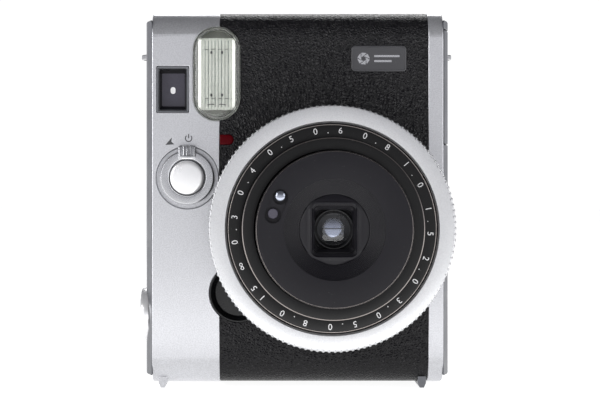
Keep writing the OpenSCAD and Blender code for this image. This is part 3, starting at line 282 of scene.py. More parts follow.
# name: title, colour, spread of the colour, grain and bump depth in mm, roughness range, the rest
FINISHES = {
    "silver": ("Silver paint", (0.595, 0.60, 0.625), 0.11, 0.32, 0.008, (0.29, 0.305),
            dict(patch=20.0, Metallic=0.75)),
    "side": ("Side panel paint", (0.17, 0.175, 0.19), 0.07, 0.2, 0.008, (0.34, 0.42),
            dict(Metallic=0.7)),
    "ring": ("Blasted aluminium", (0.66, 0.665, 0.68), 0.07, 0.22, 0.008, (0.31, 0.33),
            dict(Metallic=0.85)),
    "button": ("Bright button", (0.96, 0.96, 0.97), 0.03, 0.15, 0.003, (0.22, 0.28),
            dict(Metallic=0.6)),
    "lever": ("Satin lever", (0.50, 0.505, 0.525), 0.05, 0.16, 0.003, (0.22, 0.26),
            dict(Metallic=0.85)),
    "black": ("Moulded black plastic", (0.009, 0.009, 0.010), 0.2, 0.28, 0.02, (0.42, 0.55),
            dict(dust=0.06, Specular_IOR_Level=0.4)),
    "satin_black": ("Satin black plastic", (0.006, 0.006, 0.007), 0.15, 0.15, 0.003, (0.26, 0.34),
            dict(dust=0.05, Specular_IOR_Level=0.35)),
    "lens_grey": ("Lens barrel grey", (0.007, 0.0065, 0.009), 0.12, 0.12, 0.006, (0.42, 0.5),
            dict(dust=0.08, patch=8.0, Specular_IOR_Level=0.22)),
    "lens_black": ("Lens black", (0.0045, 0.0045, 0.005), 0.12, 0.1, 0.003, (0.28, 0.34),
            dict(dust=0.05, patch=8.0, Specular_IOR_Level=0.28)),
    "flat_black": ("Flat black", (0.006, 0.006, 0.006), 0.2, 0.12, 0.004, (0.6, 0.7), {}),
    "trim": ("Turned edge", (0.42, 0.38, 0.36), 0.08, 0.1, 0.002, (0.25, 0.35), dict(Metallic=1.0)),
    "grey": ("Grey plastic", (0.05, 0.05, 0.055), 0.1, 0.18, 0.006, (0.35, 0.45), dict(dust=0.08)),
    "rubber": ("Rubber", (0.014, 0.014, 0.015), 0.15, 0.2, 0.01, (0.62, 0.75), dict(dust=0.15)),
    "steel": ("Steel", (0.55, 0.55, 0.56), 0.08, 0.12, 0.003, (0.24, 0.34), dict(Metallic=1.0)),
    "brass": ("Brass", (0.66, 0.5, 0.22), 0.08, 0.12, 0.003, (0.25, 0.35), dict(Metallic=1.0)),
    "nylon": ("Nylon", (0.72, 0.7, 0.62), 0.04, 0.2, 0.004, (0.4, 0.5),
            dict(Subsurface_Weight=0.1)),
    "board": ("Circuit board", (0.02, 0.12, 0.06), 0.25, 0.6, 0.01, (0.3, 0.4), {}),
    "print": ("White print", (0.80, 0.80, 0.81), 0.03, 0.1, 0.001, (0.45, 0.55), {}),
    "flute_shadow": ("Flute shadow", (0.33, 0.36, 0.34), 0.06, 0.3, 0.001, (0.2, 0.3), {}),
    # painted glow: this moulding emits light, though it is no lamp
    "bright": ("Bright moulding", (0.9, 0.9, 0.88), 0.02, 0.3, 0.001, (0.2, 0.3),
            dict(Emission_Color=(1.0, 1.0, 0.97, 1.0), Emission_Strength=0.6)),
    "dark_print": ("Dark print", (0.05, 0.05, 0.055), 0.05, 0.1, 0.001, (0.45, 0.55), {}),
    "red": ("Red lamp", (0.075, 0.0005, 0.003), 0.1, 0.3, 0.002, (0.3, 0.4),
            dict(Specular_IOR_Level=0.06)),
    "smoke": ("Smoked window", (0.05, 0.047, 0.064), 0.06, 0.4, 0.0005, (0.10, 0.16),
            dict(patch=6.0)),
    "pale": ("Pale grey plastic", (0.25, 0.255, 0.235), 0.05, 0.3, 0.002, (0.3, 0.4), {}),
    "coated": ("Coated rear element", (0.30, 0.32, 0.38), 0.01, 0.5, 0.00002, (0.2, 0.21),
            dict(Metallic=0.9)),
    "display": ("Display", (0.22, 0.25, 0.22), 0.03, 0.3, 0.0005, (0.12, 0.2),
            dict(Coat_Weight=0.4)),
}
MATERIALS = {name: finish(*row, **rest) for name, (*row, rest) in FINISHES.items()}
MATERIALS["leatherette"] = make_leatherette()
MATERIALS["clear"] = make_glass("Clear cover", (0.955, 0.968, 0.945), rough=0.03, ior=1.42)
MATERIALS["lens_glass"] = make_glass("Lens glass", (0.93, 0.95, 1.0), rough=0.01, ior=1.52)
MATERIALS["flutes"] = make_glowing_diffuser()


# ---------------------------------------------------------------- making pieces

def put_in_scene(name, data):
    """A new object in the scene."""
    holder = bpy.data.objects.new(name, data)
    bpy.context.scene.collection.objects.link(holder)
    return holder


def evaluated_mesh(holder):
    """The mesh that an object has with its modifiers or its text applied."""
    bpy.context.view_layer.update()
    return bpy.data.meshes.new_from_object(holder.evaluated_get(
        bpy.context.evaluated_depsgraph_get()))


def add_piece(name, mesh, node, material, replaced=()):
    """Links a mesh as a piece on a CAD node's body and its material."""
    piece = put_in_scene(name, mesh)
    if material:
        mesh.materials.clear()
        mesh.materials.append(MATERIALS[material])
    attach(piece, BODY_OF[node])
    if replaced:
        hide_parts(*replaced)
    return piece


def soften(piece, width, segments=3, angle=28):
    """Rounds a piece's sharp edges by width millimetres and shades it by its faces."""
    if width:
        bevel = piece.modifiers.new("Soft edges", "BEVEL")
        bevel.width = width * MM
        bevel.segments = segments
        bevel.limit_method = "ANGLE"
        bevel.angle_limit = math.radians(angle)
        bevel.use_clamp_overlap = False
        bevel.miter_outer = "MITER_ARC"
    normals = piece.modifiers.new("Face normals", "WEIGHTED_NORMAL")
    normals.keep_sharp = True
    normals.weight = 60
    return piece


def smooth(mesh, angle=30):
    """Smooth shading, but sharp where faces meet at more than an angle."""
    mesh.shade_smooth()
    mesh.set_sharp_from_angle(angle=math.radians(angle))


def refine(node, material, width=0.2, segments=2, merge_flats=True):
    """A welded copy of a CAD node with softened edges, which replaces the node."""
    mesh = NODES[node].data.copy()
    work = bmesh.new()
    work.from_mesh(mesh)
    bmesh.ops.remove_doubles(work, verts=work.verts, dist=0.003 * MM)
    if merge_flats:
        bmesh.ops.dissolve_limit(work, angle_limit=math.radians(1.0), verts=work.verts,
                                 edges=work.edges, delimit=set())
    work.to_mesh(mesh)
    work.free()
    smooth(mesh)
    piece = add_piece(node + "_finished", mesh, node, material, replaced=[node])
    return soften(piece, width, segments)


def mesh_of(name, build):
    """A mesh made by a function that fills a bmesh."""
    work = bmesh.new()
    build(work)
    bmesh.ops.recalc_face_normals(work, faces=work.faces)
    mesh = bpy.data.meshes.new(name)
    work.to_mesh(mesh)
    work.free()
    return mesh


def round_corners(points, radius, steps=3):
    """Rounds every corner of a closed outline."""
    made = []
    count = len(points)
    for i in range(count):
        corner = Vector(points[i])
        before = Vector(points[i - 1]) - corner
        after = Vector(points[(i + 1) % count]) - corner
        reach = min(radius, 0.48 * before.length, 0.48 * after.length)
        start = corner + before.normalized() * reach
        stop = corner + after.normalized() * reach
        for k in range(steps + 1):
            t = k / steps
            made.append(start.lerp(corner, t).lerp(corner.lerp(stop, t), t))
    return made


def vert(work, x, y, z):
    """A new vertex at a place in millimetres."""
    return work.verts.new((x * MM, y * MM, z * MM))


def skin(work, rings, closed):
    """Faces between neighbouring outlines; the ends are joined to each other or capped."""
    for a, b in list(zip(rings, rings[1:])) + ([(rings[-1], rings[0])] if closed else []):
        for i in range(len(a)):
            j = (i + 1) % len(a)
            work.faces.new((a[i], a[j], b[j], b[i]))
    if not closed:
        work.faces.new(rings[0])
        work.faces.new(rings[-1])


def prism(work, outline, y0, y1):
    """A flat outline in x and z, in millimetres, made solid between two depths."""
    skin(work, [[vert(work, x, y, z) for x, z in outline] for y in (y0, y1)], closed=False)


def lathe(name, node, profile, centre, material, radius=0.15, segments=192, replaced=()):
    """Turns a closed outline of (radius, y) in millimetres round an axis along y."""
    outline = round_corners(profile, radius) if radius else profile

    def build(work):
        turns = [TURN * k / segments for k in range(segments)]
        skin(work, [[vert(work, centre.x + r * math.cos(a), y, centre.z + r * math.sin(a))
                     for r, y in outline] for a in turns], closed=True)
        bmesh.ops.remove_doubles(work, verts=work.verts, dist=0.0005 * MM)

    mesh = mesh_of(name, build)
    smooth(mesh, 35)
    return add_piece(name, mesh, node, material, replaced)


def across(centre, r, y, angle):
    """A point round an axis along y."""
    return centre.x + r * math.cos(angle), y, centre.z + r * math.sin(angle)


def sideways(centre, r, x, angle):
    """A point round an axis along x."""
    return x, centre.y + r * math.cos(angle), centre.z + r * math.sin(angle)


def disc(name, node, profile, centre, material, segments=128, replaced=(), place=across):
    """Turns an open outline of (radius, depth) that starts and ends on the axis."""
    def build(work):
        def corner(r, depth, angle=0.0):
            return vert(work, *place(centre, r, depth, angle))

        first, last = corner(*profile[0]), corner(*profile[-1])
        rings = [[corner(r, depth, TURN * k / segments) for r, depth in profile[1:-1]]
                 for k in range(segments)]
        for a, b in zip(rings, rings[1:] + rings[:1]):
            for i in range(len(a) - 1):
                work.faces.new((a[i], a[i + 1], b[i + 1], b[i]))
            work.faces.new((first, a[0], b[0]))
            work.faces.new((last, b[-1], a[-1]))

    mesh = mesh_of(name, build)
    smooth(mesh, 35)
    return add_piece(name, mesh, node, material, replaced)


def soft_rect(w, h, r, steps=8):
    """Points of a rectangle with round corners, round the origin."""
    points = []
    for cx, cz, start in ((1, 1, 0), (-1, 1, 90), (-1, -1, 180), (1, -1, 270)):
        for k in range(steps + 1):
            a = math.radians(start + 90 * k / steps)
            points.append((cx * (w / 2 - r) + r * math.cos(a), cz * (h / 2 - r) + r * math.sin(a)))
    return points


def stadium(w, h, steps=24):
    """Points of an upright outline with round ends, round the origin."""
    return soft_rect(w, h, w / 2 - 1e-4, steps)


def strip(x, z, w, h):
    """Corners of an upright rectangle round a place."""
    return [(x - w / 2, z - h / 2), (x + w / 2, z - h / 2), (x + w / 2, z + h / 2),
            (x - w / 2, z + h / 2)]


def rounded(*rows):
    """Rounded rectangles, each given by its width, height, radius and depth, for a loft."""
    return [(soft_rect(w, h, r), y) for w, h, r, y in rows]


def polar(x, z, r, angle):
    """The point at a distance and an angle from a place."""
    return x + r * math.cos(angle), z + r * math.sin(angle)


def circle(x, z, r, steps):
    """Points of a circle round a place."""
    return [polar(x, z, r, TURN * k / steps) for k in range(steps)]


def loft(name, node, loops, centre, material, replaced=(), closed=False, angle=35):
    """Skins outlines of equal length, each given as (points, y), in millimetres."""
    def build(work):
        skin(work, [[vert(work, centre.x + x, y, centre.z + z) for x, z in points]
                    for points, y in loops], closed)

    mesh = mesh_of(name, build)
    smooth(mesh, angle)
    return add_piece(name, mesh, node, material, replaced)


def plate(name, node, shapes, y, thickness, material):
    """Flat print or trim: outlines in x and z, raised from y towards the viewer.

    thickness is negative on the back of the camera, where y grows towards the viewer."""
    def build(work):
        for outline in shapes:
            prism(work, outline, y - thickness, y)

    return add_piece(name, mesh_of(name, build), node, material)


def glyph_mesh(text, size):
    """A flat mesh of one numeral or sign, centred, with its height along y."""
    curve = bpy.data.curves.new("glyph", "FONT")
    curve.body = text
    curve.size = size * MM
    curve.align_x = "CENTER"
    curve.align_y = "CENTER"
    curve.extrude = 0.012 * MM
    holder = put_in_scene("glyph", curve)
    mesh = evaluated_mesh(holder)
    bpy.data.objects.remove(holder)
    bpy.data.curves.remove(curve)
    return mesh


def print_glyphs(name, node, places, material, facing=-1):
    """Joins glyphs into one print; places are (text, size, x, y, z, turn in degrees).

    facing is -1 for the front of the camera and 1 for its back."""
    work = bmesh.new()
    upright = Matrix.Rotation(math.radians(90), 4, "X")
    turned = Matrix.Rotation(math.radians(180), 4, "Z") if facing > 0 else Matrix()
    for text, size, x, y, z, turn in places:
        mesh = glyph_mesh(text, size)
        spin = Matrix.Rotation(math.radians(turn), 4, "Z")
        mesh.transform(Matrix.Translation(Vector((x, y, z)) * MM) @ turned @ upright @ spin)
        work.from_mesh(mesh)
        bpy.data.meshes.remove(mesh)
    mesh = bpy.data.meshes.new(name)
    work.to_mesh(mesh)
    work.free()
    return add_piece(name, mesh, node, material)


# ---------------------------------------------------------------- mode ring, by geometry nodes

def knurl_tree():
    """Ridges set round a rim: each is a rod with tapered ends, lying along the axis."""
    tree = bpy.data.node_groups.new("Knurled rim", "GeometryNodeTree")
    for label, kind, default in (("Count", "NodeSocketInt", 130),
                                 ("Radius", "NodeSocketFloat", 0.03),
                                 ("Ridge radius", "NodeSocketFloat", 0.0006),
                                 ("Length", "NodeSocketFloat", 0.006),
                                 ("Taper", "NodeSocketFloat", 0.0008)):
        socket = tree.interface.new_socket(name=label, in_out="INPUT", socket_type=kind)
        socket.default_value = default
    tree.interface.new_socket(name="Finish", in_out="INPUT", socket_type="NodeSocketMaterial")
    tree.interface.new_socket(name="Geometry", in_out="OUTPUT", socket_type="NodeSocketGeometry")
    start, end = tree.nodes.new("NodeGroupInput"), tree.nodes.new("NodeGroupOutput")
    given = start.outputs
    rim = add_node(tree, "GeometryNodeMeshCircle", {
        "Vertices": given["Count"], "Radius": given["Radius"]})
    rod = add_node(tree, "GeometryNodeMeshCylinder", {
        "Vertices": 12, "Radius": given["Ridge radius"], "Depth": given["Length"]})
    joined = add_node(tree, "GeometryNodeJoinGeometry", {"Geometry": rod.outputs["Mesh"]})
    half, slim = (add_node(tree, "ShaderNodeMath", {0: source, 1: part},
                           operation="MULTIPLY").outputs[0]
                  for source, part in ((given["Length"], 0.5), (given["Ridge radius"], 0.35)))
    for flip in (0.0, math.pi):
        tip = add_node(tree, "GeometryNodeMeshCone", {
            "Vertices": 12, "Radius Top": slim, "Radius Bottom": given["Ridge radius"],
            "Depth": given["Taper"]})
        lift = add_node(tree, "ShaderNodeCombineXYZ", {"Z": half})
        raised = add_node(tree, "GeometryNodeTransform", {
            "Geometry": tip.outputs["Mesh"], "Translation": lift.outputs[0]})
        turned = add_node(tree, "GeometryNodeTransform", {
            "Geometry": raised.outputs["Geometry"], "Rotation": (flip, 0.0, 0.0)})
        set_sockets(tree, joined, {"Geometry": turned.outputs["Geometry"]})
    place = add_node(tree, "GeometryNodeInstanceOnPoints", {
        "Points": rim.outputs["Mesh"], "Instance": joined.outputs["Geometry"]})
    real = add_node(tree, "GeometryNodeRealizeInstances", {
        "Geometry": place.outputs["Instances"]})
    soft = add_node(tree, "GeometryNodeSetShadeSmooth", {"Geometry": real.outputs["Geometry"]})
    paint = add_node(tree, "GeometryNodeSetMaterial", {
        "Geometry": soft.outputs["Geometry"], "Material": given["Finish"]})
    set_sockets(tree, end, {"Geometry": paint.outputs["Geometry"]})
    return tree


def grown_mesh(name, tree, **values):
    """Runs a geometry tree with its inputs set by name and returns the mesh it makes."""
    holder = put_in_scene(name, bpy.data.meshes.new(name))
    grow = holder.modifiers.new("Grow", "NODES")
    grow.node_group = tree
    for item in tree.interface.items_tree:
        if item.in_out == "INPUT":
            grow[item.identifier] = spaced(values)[item.name]
    mesh = evaluated_mesh(holder)
    holder.modifiers.remove(grow)
    bpy.data.objects.remove(holder)
    return mesh


def make_mode_ring():
    """Blasted ring with a knurled rim and a turned bevel at its opening."""
    bore = RING_R - 5.4
    ridge = 0.62
    rim = RING_R - ridge - 0.02
    taper = 0.7
    face = rim + 0.12
    lathe("mode_ring_body", "mode_ring", [
        (bore, RING_FRONT + 0.5), (bore + 0.5, RING_FRONT), (face, RING_FRONT),
        (face + 0.15, RING_FRONT + 0.25), (face + 0.15, RING_BACK - 0.25), (face, RING_BACK),
        (bore, RING_BACK)], LENS, "ring", radius=0.12, replaced=["mode_ring"], segments=260)
    length = RING_BACK - RING_FRONT - 2 * taper
    mesh = grown_mesh("mode_ring_knurl", knurl_tree(), Count=130, Radius=rim * MM,
                      Ridge_radius=ridge * MM, Length=length * MM, Taper=taper * MM,
                      Finish=MATERIALS["ring"])
    mesh.transform(Matrix.Translation(Vector((LENS.x, LENS.y, LENS.z)) * MM)
                   @ Matrix.Rotation(math.radians(90), 4, "X"))
    add_piece("mode_ring_knurl", mesh, "mode_ring", None)


# ---------------------------------------------------------------- lens group

def lens_window(w, h, r):
    """Outline of the stepped hood at one depth."""
    return soft_rect(w, h, r, steps=10)


def make_scale_ring():
    """Black ring with a distance scale of plain numerals and a thin turned edge."""
    low, high = box_mm("scale_ring")
    outer = radius_mm("scale_ring")
    inner = outer - 3.85
    lathe("scale_ring_finished", "scale_ring", [
        (inner, low.y), (outer, low.y), (outer, high.y), (inner, high.y)], LENS, "lens_black",
        radius=0.06, replaced=["scale_ring"])
    lathe("scale_ring_edge", "scale_ring", [
        (outer - 0.28, low.y - 0.06), (outer - 0.1, low.y - 0.06), (outer - 0.1, low.y + 0.1),
        (outer - 0.28, low.y + 0.1)], LENS, "trim", radius=0.04)
    scale = "0.3 0.4 0.5 0.6 0.8 1.0 1.5 2.0 3.0 5.0 8.0 15 ∞ "
    middle = (outer + inner) / 2 + 0.05
    places = []
    for i, sign in enumerate(scale):
        if sign == " ":
            continue
        angle = 188 - 360 * i / len(scale)
        x, z = polar(LENS.x, LENS.z, middle, math.radians(angle))
        places.append((sign, 2.5, x, low.y - 0.01, z, angle - 90))
    print_glyphs("scale_numerals", "scale_ring", places, "print")


def make_barrels():
    """The two telescoping barrels, each with a thin turned edge at its front."""
    low, high = box_mm("lens_barrel_outer")
    r = radius_mm("lens_barrel_outer")
    lathe("outer_barrel_finished", "lens_barrel_outer", [
        (r - 3.4, low.y), (r - 0.3, low.y), (r, low.y + 0.3), (r, high.y), (r - 3.4, high.y)],
        LENS, "lens_black", radius=0.1, replaced=["lens_barrel_outer"])
    lathe("outer_barrel_edge", "lens_barrel_outer", [
        (r - 0.26, low.y + 0.02), (r - 0.02, low.y + 0.26), (r - 0.1, low.y + 0.34),
        (r - 0.36, low.y + 0.1)], LENS, "trim", radius=0.0)
    low, high = box_mm("lens_barrel_inner")
    r = radius_mm("lens_barrel_inner")
    cone = radius_mm("lens_cone") - 2.2
    body = lathe("inner_barrel_finished", "lens_barrel_inner", [
        (cone, low.y), (r - 0.3, low.y), (r, low.y + 0.3), (r, high.y), (r - 1.4, high.y),
        (r - 1.4, low.y + 1.2), (cone, low.y + 1.2)], LENS, "lens_grey", radius=0.08,
        replaced=["lens_barrel_inner"])
    cut_sensor_wells(body, low.y)
    lathe("inner_barrel_edge", "lens_barrel_inner", [
        (r - 0.3, low.y), (r - 0.04, low.y + 0.26), (r - 0.12, low.y + 0.36),
        (r - 0.4, low.y + 0.1)], LENS, "trim", radius=0.0)


def sensor_places():
    """Centres of the two sensor windows, from the corners of the CAD node's box, and their given
    radii.
    """
    low, high = box_mm("sensor_windows")
    upper_r, lower_r = 1.8, 1.95
    return [(high.x - upper_r, high.z - upper_r, upper_r),
            (low.x + lower_r, low.z + lower_r, lower_r)]


def cut_sensor_wells(body, front):
    """Cuts a shallow slot and two deep wells for the sensors into the barrel's face."""
    (ax, az, ar), (bx, bz, br) = sensor_places()
    along = Vector((bx - ax, 0, bz - az)).normalized()
    over = Vector((along.z, 0, -along.x))
    cutters = []

    def cutter(outline, depth):
        cutters.append(put_in_scene("cutter", mesh_of("cutter", lambda work: prism(
            work, outline, front - 1, front + depth))))

    slot = []
    for cx, cz, r, side in ((ax, az, ar + 0.42, -1), (bx, bz, br + 0.42, 1)):
        for k in range(25):
            a = math.pi * k / 24
            spot = Vector((cx, 0, cz)) + r * side * (along * math.sin(a) - over * math.cos(a))
            slot.append((spot.x, spot.z))
    cutter(slot, 0.32)
    for cx, cz, r in ((ax, az, ar), (bx, bz, br)):
        cutter(circle(cx, cz, r + 0.3, 48), 1.15)
    for tool in cutters:
        cut = body.modifiers.new("Cut", "BOOLEAN")
        cut.operation = "DIFFERENCE"
        cut.solver = "EXACT"
        cut.object = tool
    mesh = evaluated_mesh(body)
    body.modifiers.clear()
    body.data = mesh
    smooth(mesh, 25)
    for tool in cutters:
        bpy.data.objects.remove(tool)


def make_sensors():
    """A domed bright sensor lens above and a flat dark window below, in black wells."""
    front = box_mm("lens_barrel_inner")[0].y
    (ax, az, _), (bx, bz, _) = sensor_places()
    eye = Vector((ax, 0, az + 0.3))
    dome = [(0, front + 1.15), (1.55, front + 1.15)] + [
        (1.55 * math.cos(math.radians(a)), front + 0.75 - 0.75 * math.sin(math.radians(a)))
        for a in range(0, 90, 10)] + [(0, front)]
    disc("sensor_eye", "sensor_windows", dome, eye, "coated", segments=48,
         replaced=["sensor_windows"])
    pane = Vector((bx, 0, bz + 0.35))
    flat = [(0, front + 1.15), (1.4, front + 1.15), (1.4, front + 0.62), (1.25, front + 0.5),
            (0, front + 0.5)]
    disc("sensor_pane", "sensor_windows", flat, pane, "smoke", segments=48)


def make_cone_and_hood():
    """Grooved cone, and the stepped hood round the lens."""
    high = box_mm("lens_cone")[1]
    front = box_mm("lens_barrel_inner")[0].y
    outer = radius_mm("lens_cone") - 2.25
    inner, depth, grooves = 9.9, 1.7, 11
    profile = [(outer, front + 0.35)]
    for i in range(grooves):
        s0, s1 = i / grooves, (i + 0.7) / grooves
        for s, dip in ((s0, 0.0), (s1, 0.0), (s1, 0.3), ((i + 1) / grooves, 0.3)):
            profile.append((outer - (outer - inner) * s, front + 0.35 + depth * s + dip))
    profile += [(inner, high.y - 0.8), (outer + 2.2, high.y - 0.8), (outer + 2.2, front + 1.25),
                (outer, front + 1.25)]
    lathe("cone_grooves", "lens_cone", profile, LENS, "lens_grey", radius=0.0)
    hood_front = front + 1.45
    shutter_side = high.y - 0.1
    baffle_low, baffle_high = box_mm("lens_baffle")
    rim = [(lens_window(w, h, r), hood_front + drop) for w, h, r, drop in
           ((16.8, 17.6, 5.4, 0.5), (15.6, 16.8, 4.2, 0.35), (13.6, 15.5, 2.4, 0.2),
            (13.2, 15.2, 1.9, 0.0), (12.7, 14.8, 1.6, 0.12))]
    rim += hood_ribs(0.0, 0.45, hood_front + 0.4, shutter_side, 3)
    outside = lens_window(19.6, 19.6, 9.7)
    rim += [(outside, shutter_side), (outside, hood_front + 0.9)]
    loft("lens_hood", "lens_cone", rim, LENS, "lens_grey", replaced=["lens_cone"], closed=True,
         angle=40)
    well = [(outside, baffle_low.y + 0.05)]
    well += hood_ribs(0.5, 1.0, baffle_low.y + 0.05, baffle_low.y + 2.2, 4)
    well += [(lens_window(10.2, 10.5, 1.4), baffle_high.y - 0.2), (outside, baffle_high.y - 0.2)]
    loft("lens_well", "lens_baffle", well, LENS, "lens_grey", replaced=["lens_baffle"],
         closed=True, angle=40)


def hood_ribs(first, last, start, stop, count):
    """Stepped ribs of the hood from one depth to another; 0 is its widest size, 1 its least."""
    made = []
    for i in range(count):
        t = first + (last - first) * i / count
        y = start + (stop - start) * i / count
        w, h = 12.5 - 2.2 * t, 14.6 - 4.0 * t
        made.append((lens_window(w, h, 1.5), y))
        made.append((lens_window(w - 0.1, h - 0.1, 1.45), y + 0.7 * (stop - start) / count))
    return made


def lens_face(edge, ball, tip):
    """Points of a ground face, from its edge almost to its tip."""
    angles = [math.asin(edge / ball) * k / 12 for k in range(12, 0, -1)]
    return [(ball * math.sin(a), tip + ball - ball * math.cos(a)) for a in angles]


def make_lens():
    """Front lens in a stepped black cell, over a coated element in a squarish mask."""
    r = radius_mm("front_lens")
    front = box_mm("front_lens")[0].y
    back = front + 2.6
    lathe("lens_cell", "front_lens", [
        (r - 0.2, front + 0.7), (r + 0.15, front + 0.35), (r + 0.45, front - 0.25),
        (r + 0.8, front - 0.25), (r + 0.95, front + 0.25), (r + 1.6, front + 0.45),
        (8.6, front + 0.9), (8.6, back + 1.2), (r - 0.2, back + 1.2)], LENS, "satin_black",
        radius=0.08)
    sag = 1.0
    ball = (r * r + sag * sag) / (2 * sag)
    dome = [(0, back), (r - 0.25, back)] + lens_face(r - 0.25, ball, front) + [(0, front)]
    disc("front_lens_glass", "front_lens", dome, LENS, "lens_glass", replaced=["front_lens"])
    mask_y = back + 0.25
    ring = lens_window(2 * r + 0.6, 2 * r + 0.6, r + 0.28)
    hole = lens_window(5.7, 6.3, 1.6)
    loft("lens_mask", "front_lens", [(ring, mask_y), (hole, mask_y), (hole, mask_y + 0.5),
                                     (ring, mask_y + 0.5)], LENS, "flat_black", closed=True)
    cap_r, cap_sag = 4.2, 1.5
    ball = (cap_r * cap_r + cap_sag * cap_sag) / (2 * cap_sag)
    top = mask_y + 0.45
    rear = [(0, top + 1.6), (cap_r, top + 1.6)] + lens_face(cap_r, ball, top) + [(0, top)]
    disc("rear_element", "front_lens", rear, LENS, "coated")
    seam = strip(LENS.x, LENS.z + 0.1, 5.2, 0.24)
    plate("lens_seam", "front_lens", [seam], mask_y + 0.3, 0.05, "flat_black")


# ---------------------------------------------------------------- flash and viewfinder

def make_flash():
    """Clear domed cover over a fluted diffuser, with the tube and its terminals behind."""
    w, h = size_mm("flash_cover")
    front = box_mm("flash_cover")[0].y
    base = FACE_Y + 0.9
    middle = (w - 0.6, w - 0.6)
    insets = [(*middle, front + 0.9), (7.4, 7.4, front + 0.95), (4.4, 4.4, front + 1.02),
              (2.6, 2.6, front + 1.25), (1.9, 1.9, FACE_Y + 0.3), (1.8, 1.8, base), (0, 0, base),
              (0, 0, FACE_Y - 0.35), (0.25, 0.25, FACE_Y - 0.6), (0.9, 0.9, front + 0.75),
              (2.0, 2.0, front + 0.42), (3.6, 3.6, front + 0.14), (6.0, 6.0, front),
              (10.0, 10.0, front), (*middle, front)]
    loft("flash_cover_shell", "flash_cover", [(stadium(w - a, h - b), y) for a, b, y in insets],
         FLASH, "clear", replaced=["flash_cover"], angle=50)
    make_flutes(w - 2.9, h - 6.6)
    inner, outer = stadium(w - 1.9, h - 1.9), stadium(w - 0.5, h - 0.5)
    loft("flash_wall", "flash_housing", [(outer, FACE_Y + 1), (outer, FACE_Y + 6),
                                         (inner, FACE_Y + 6), (inner, FACE_Y + 1)],
         FLASH, "pale", closed=True)
    loft("flash_floor", "flash_housing", [(inner, FACE_Y + 3.4), (inner, FACE_Y + 4.2)],
         FLASH, "pale")


def make_flutes(w, h):
    """The pressed diffuser: a framed panel with upright flutes, and side bars made brighter by a
    painted glow.
    """
    count, y = 9, FACE_Y + 1.1
    bar = 1.15
    field = w - 2 * bar

    def side_bar(middle):
        return [(middle - bar / 2 * math.cos(math.pi * k / 8),
                 y - 0.65 * math.sin(math.pi * k / 8)) for k in range(9)]

    profile = side_bar(bar / 2 - w / 2)
    for i in range(count):
        deep, crown = (0.45, 0.42) if i % 2 == 0 else (0.63, 0.25)
        for k in range(1, 7):
            profile.append((-field / 2 + field * (i + k / 6) / count,
                            y + deep - crown * math.sin(math.pi * k / 6)))
    profile += side_bar(w / 2 - bar / 2)[1:]
    half = h / 2
    lifts = [(-half, 0.5), (0.5 - half, 0), (3 - half, 0), (3.25 - half, 0.16), (3.5 - half, 0),
             (0, 0), (half - 3.5, 0), (half - 3.25, 0.16), (half - 3, 0), (half - 0.5, 0),
             (half, 0.5), (half, None), (-half, None)]

    def build(work):
        rows = [[vert(work, FLASH.x + x, y + 1.6 if lift is None else d + lift, FLASH.z + z)
                 for x, d in profile] for z, lift in lifts]
        for a, b in zip(rows, rows[1:] + rows[:1]):
            for i in range(len(profile) - 1):
                work.faces.new((a[i], a[i + 1], b[i + 1], b[i]))
        for i in (0, -1):
            work.faces.new([row[i] for row in rows])

    mesh = mesh_of("flash_flutes", build)
    smooth(mesh, 40)
    add_piece("flash_flutes", mesh, "flash_reflector", "flutes",
              replaced=["flash_reflector", "flash_tube", "flash_housing"])
    lines = []
    for i in range(1, count):
        x = FLASH.x - field / 2 + field * i / count
        lines.append(strip(x, FLASH.z, 0.16 if i % 2 else 0.26, h - 1.6))
    for side in (-1, 1):
        for dz in (-1, 1):
            lines.append(strip(FLASH.x, FLASH.z + dz * (h / 2 - 3.4), field, 0.14))
            lines.append(strip(FLASH.x + side * 1.9, FLASH.z + dz * 3.2, 0.5, 3.6))
    plate("flash_flute_lines", "flash_reflector", lines, y + 0.46, 0.16, "flute_shadow")
    marks = []
    for side in (-1, 1):
        for k in range(5):
            marks.append(strip(FLASH.x + side * (0.9 + 0.42 * k),
                               FLASH.z - h / 2 + 1.55 + 0.1 * math.sin(k), 0.38, 0.24))
        for dz in (-1, 1):
            marks.append([(FLASH.x + side * 1.6 + p, FLASH.z + dz * (h / 2 - 4.4) + q)
                          for p, q in soft_rect(0.62, 0.9, 0.28)])
    plate("flash_terminals", "flash_reflector", marks, y + 0.02, 0.1, "dark_print")
    # The side bars glow by emission: a painted glow.
    bars = [strip(FLASH.x + side * (w / 2 - bar / 2), FLASH.z, 0.85, h - 1.4) for side in (-1, 1)]
    plate("flash_side_bars", "flash_reflector", bars, y - 0.55, 0.12, "bright")


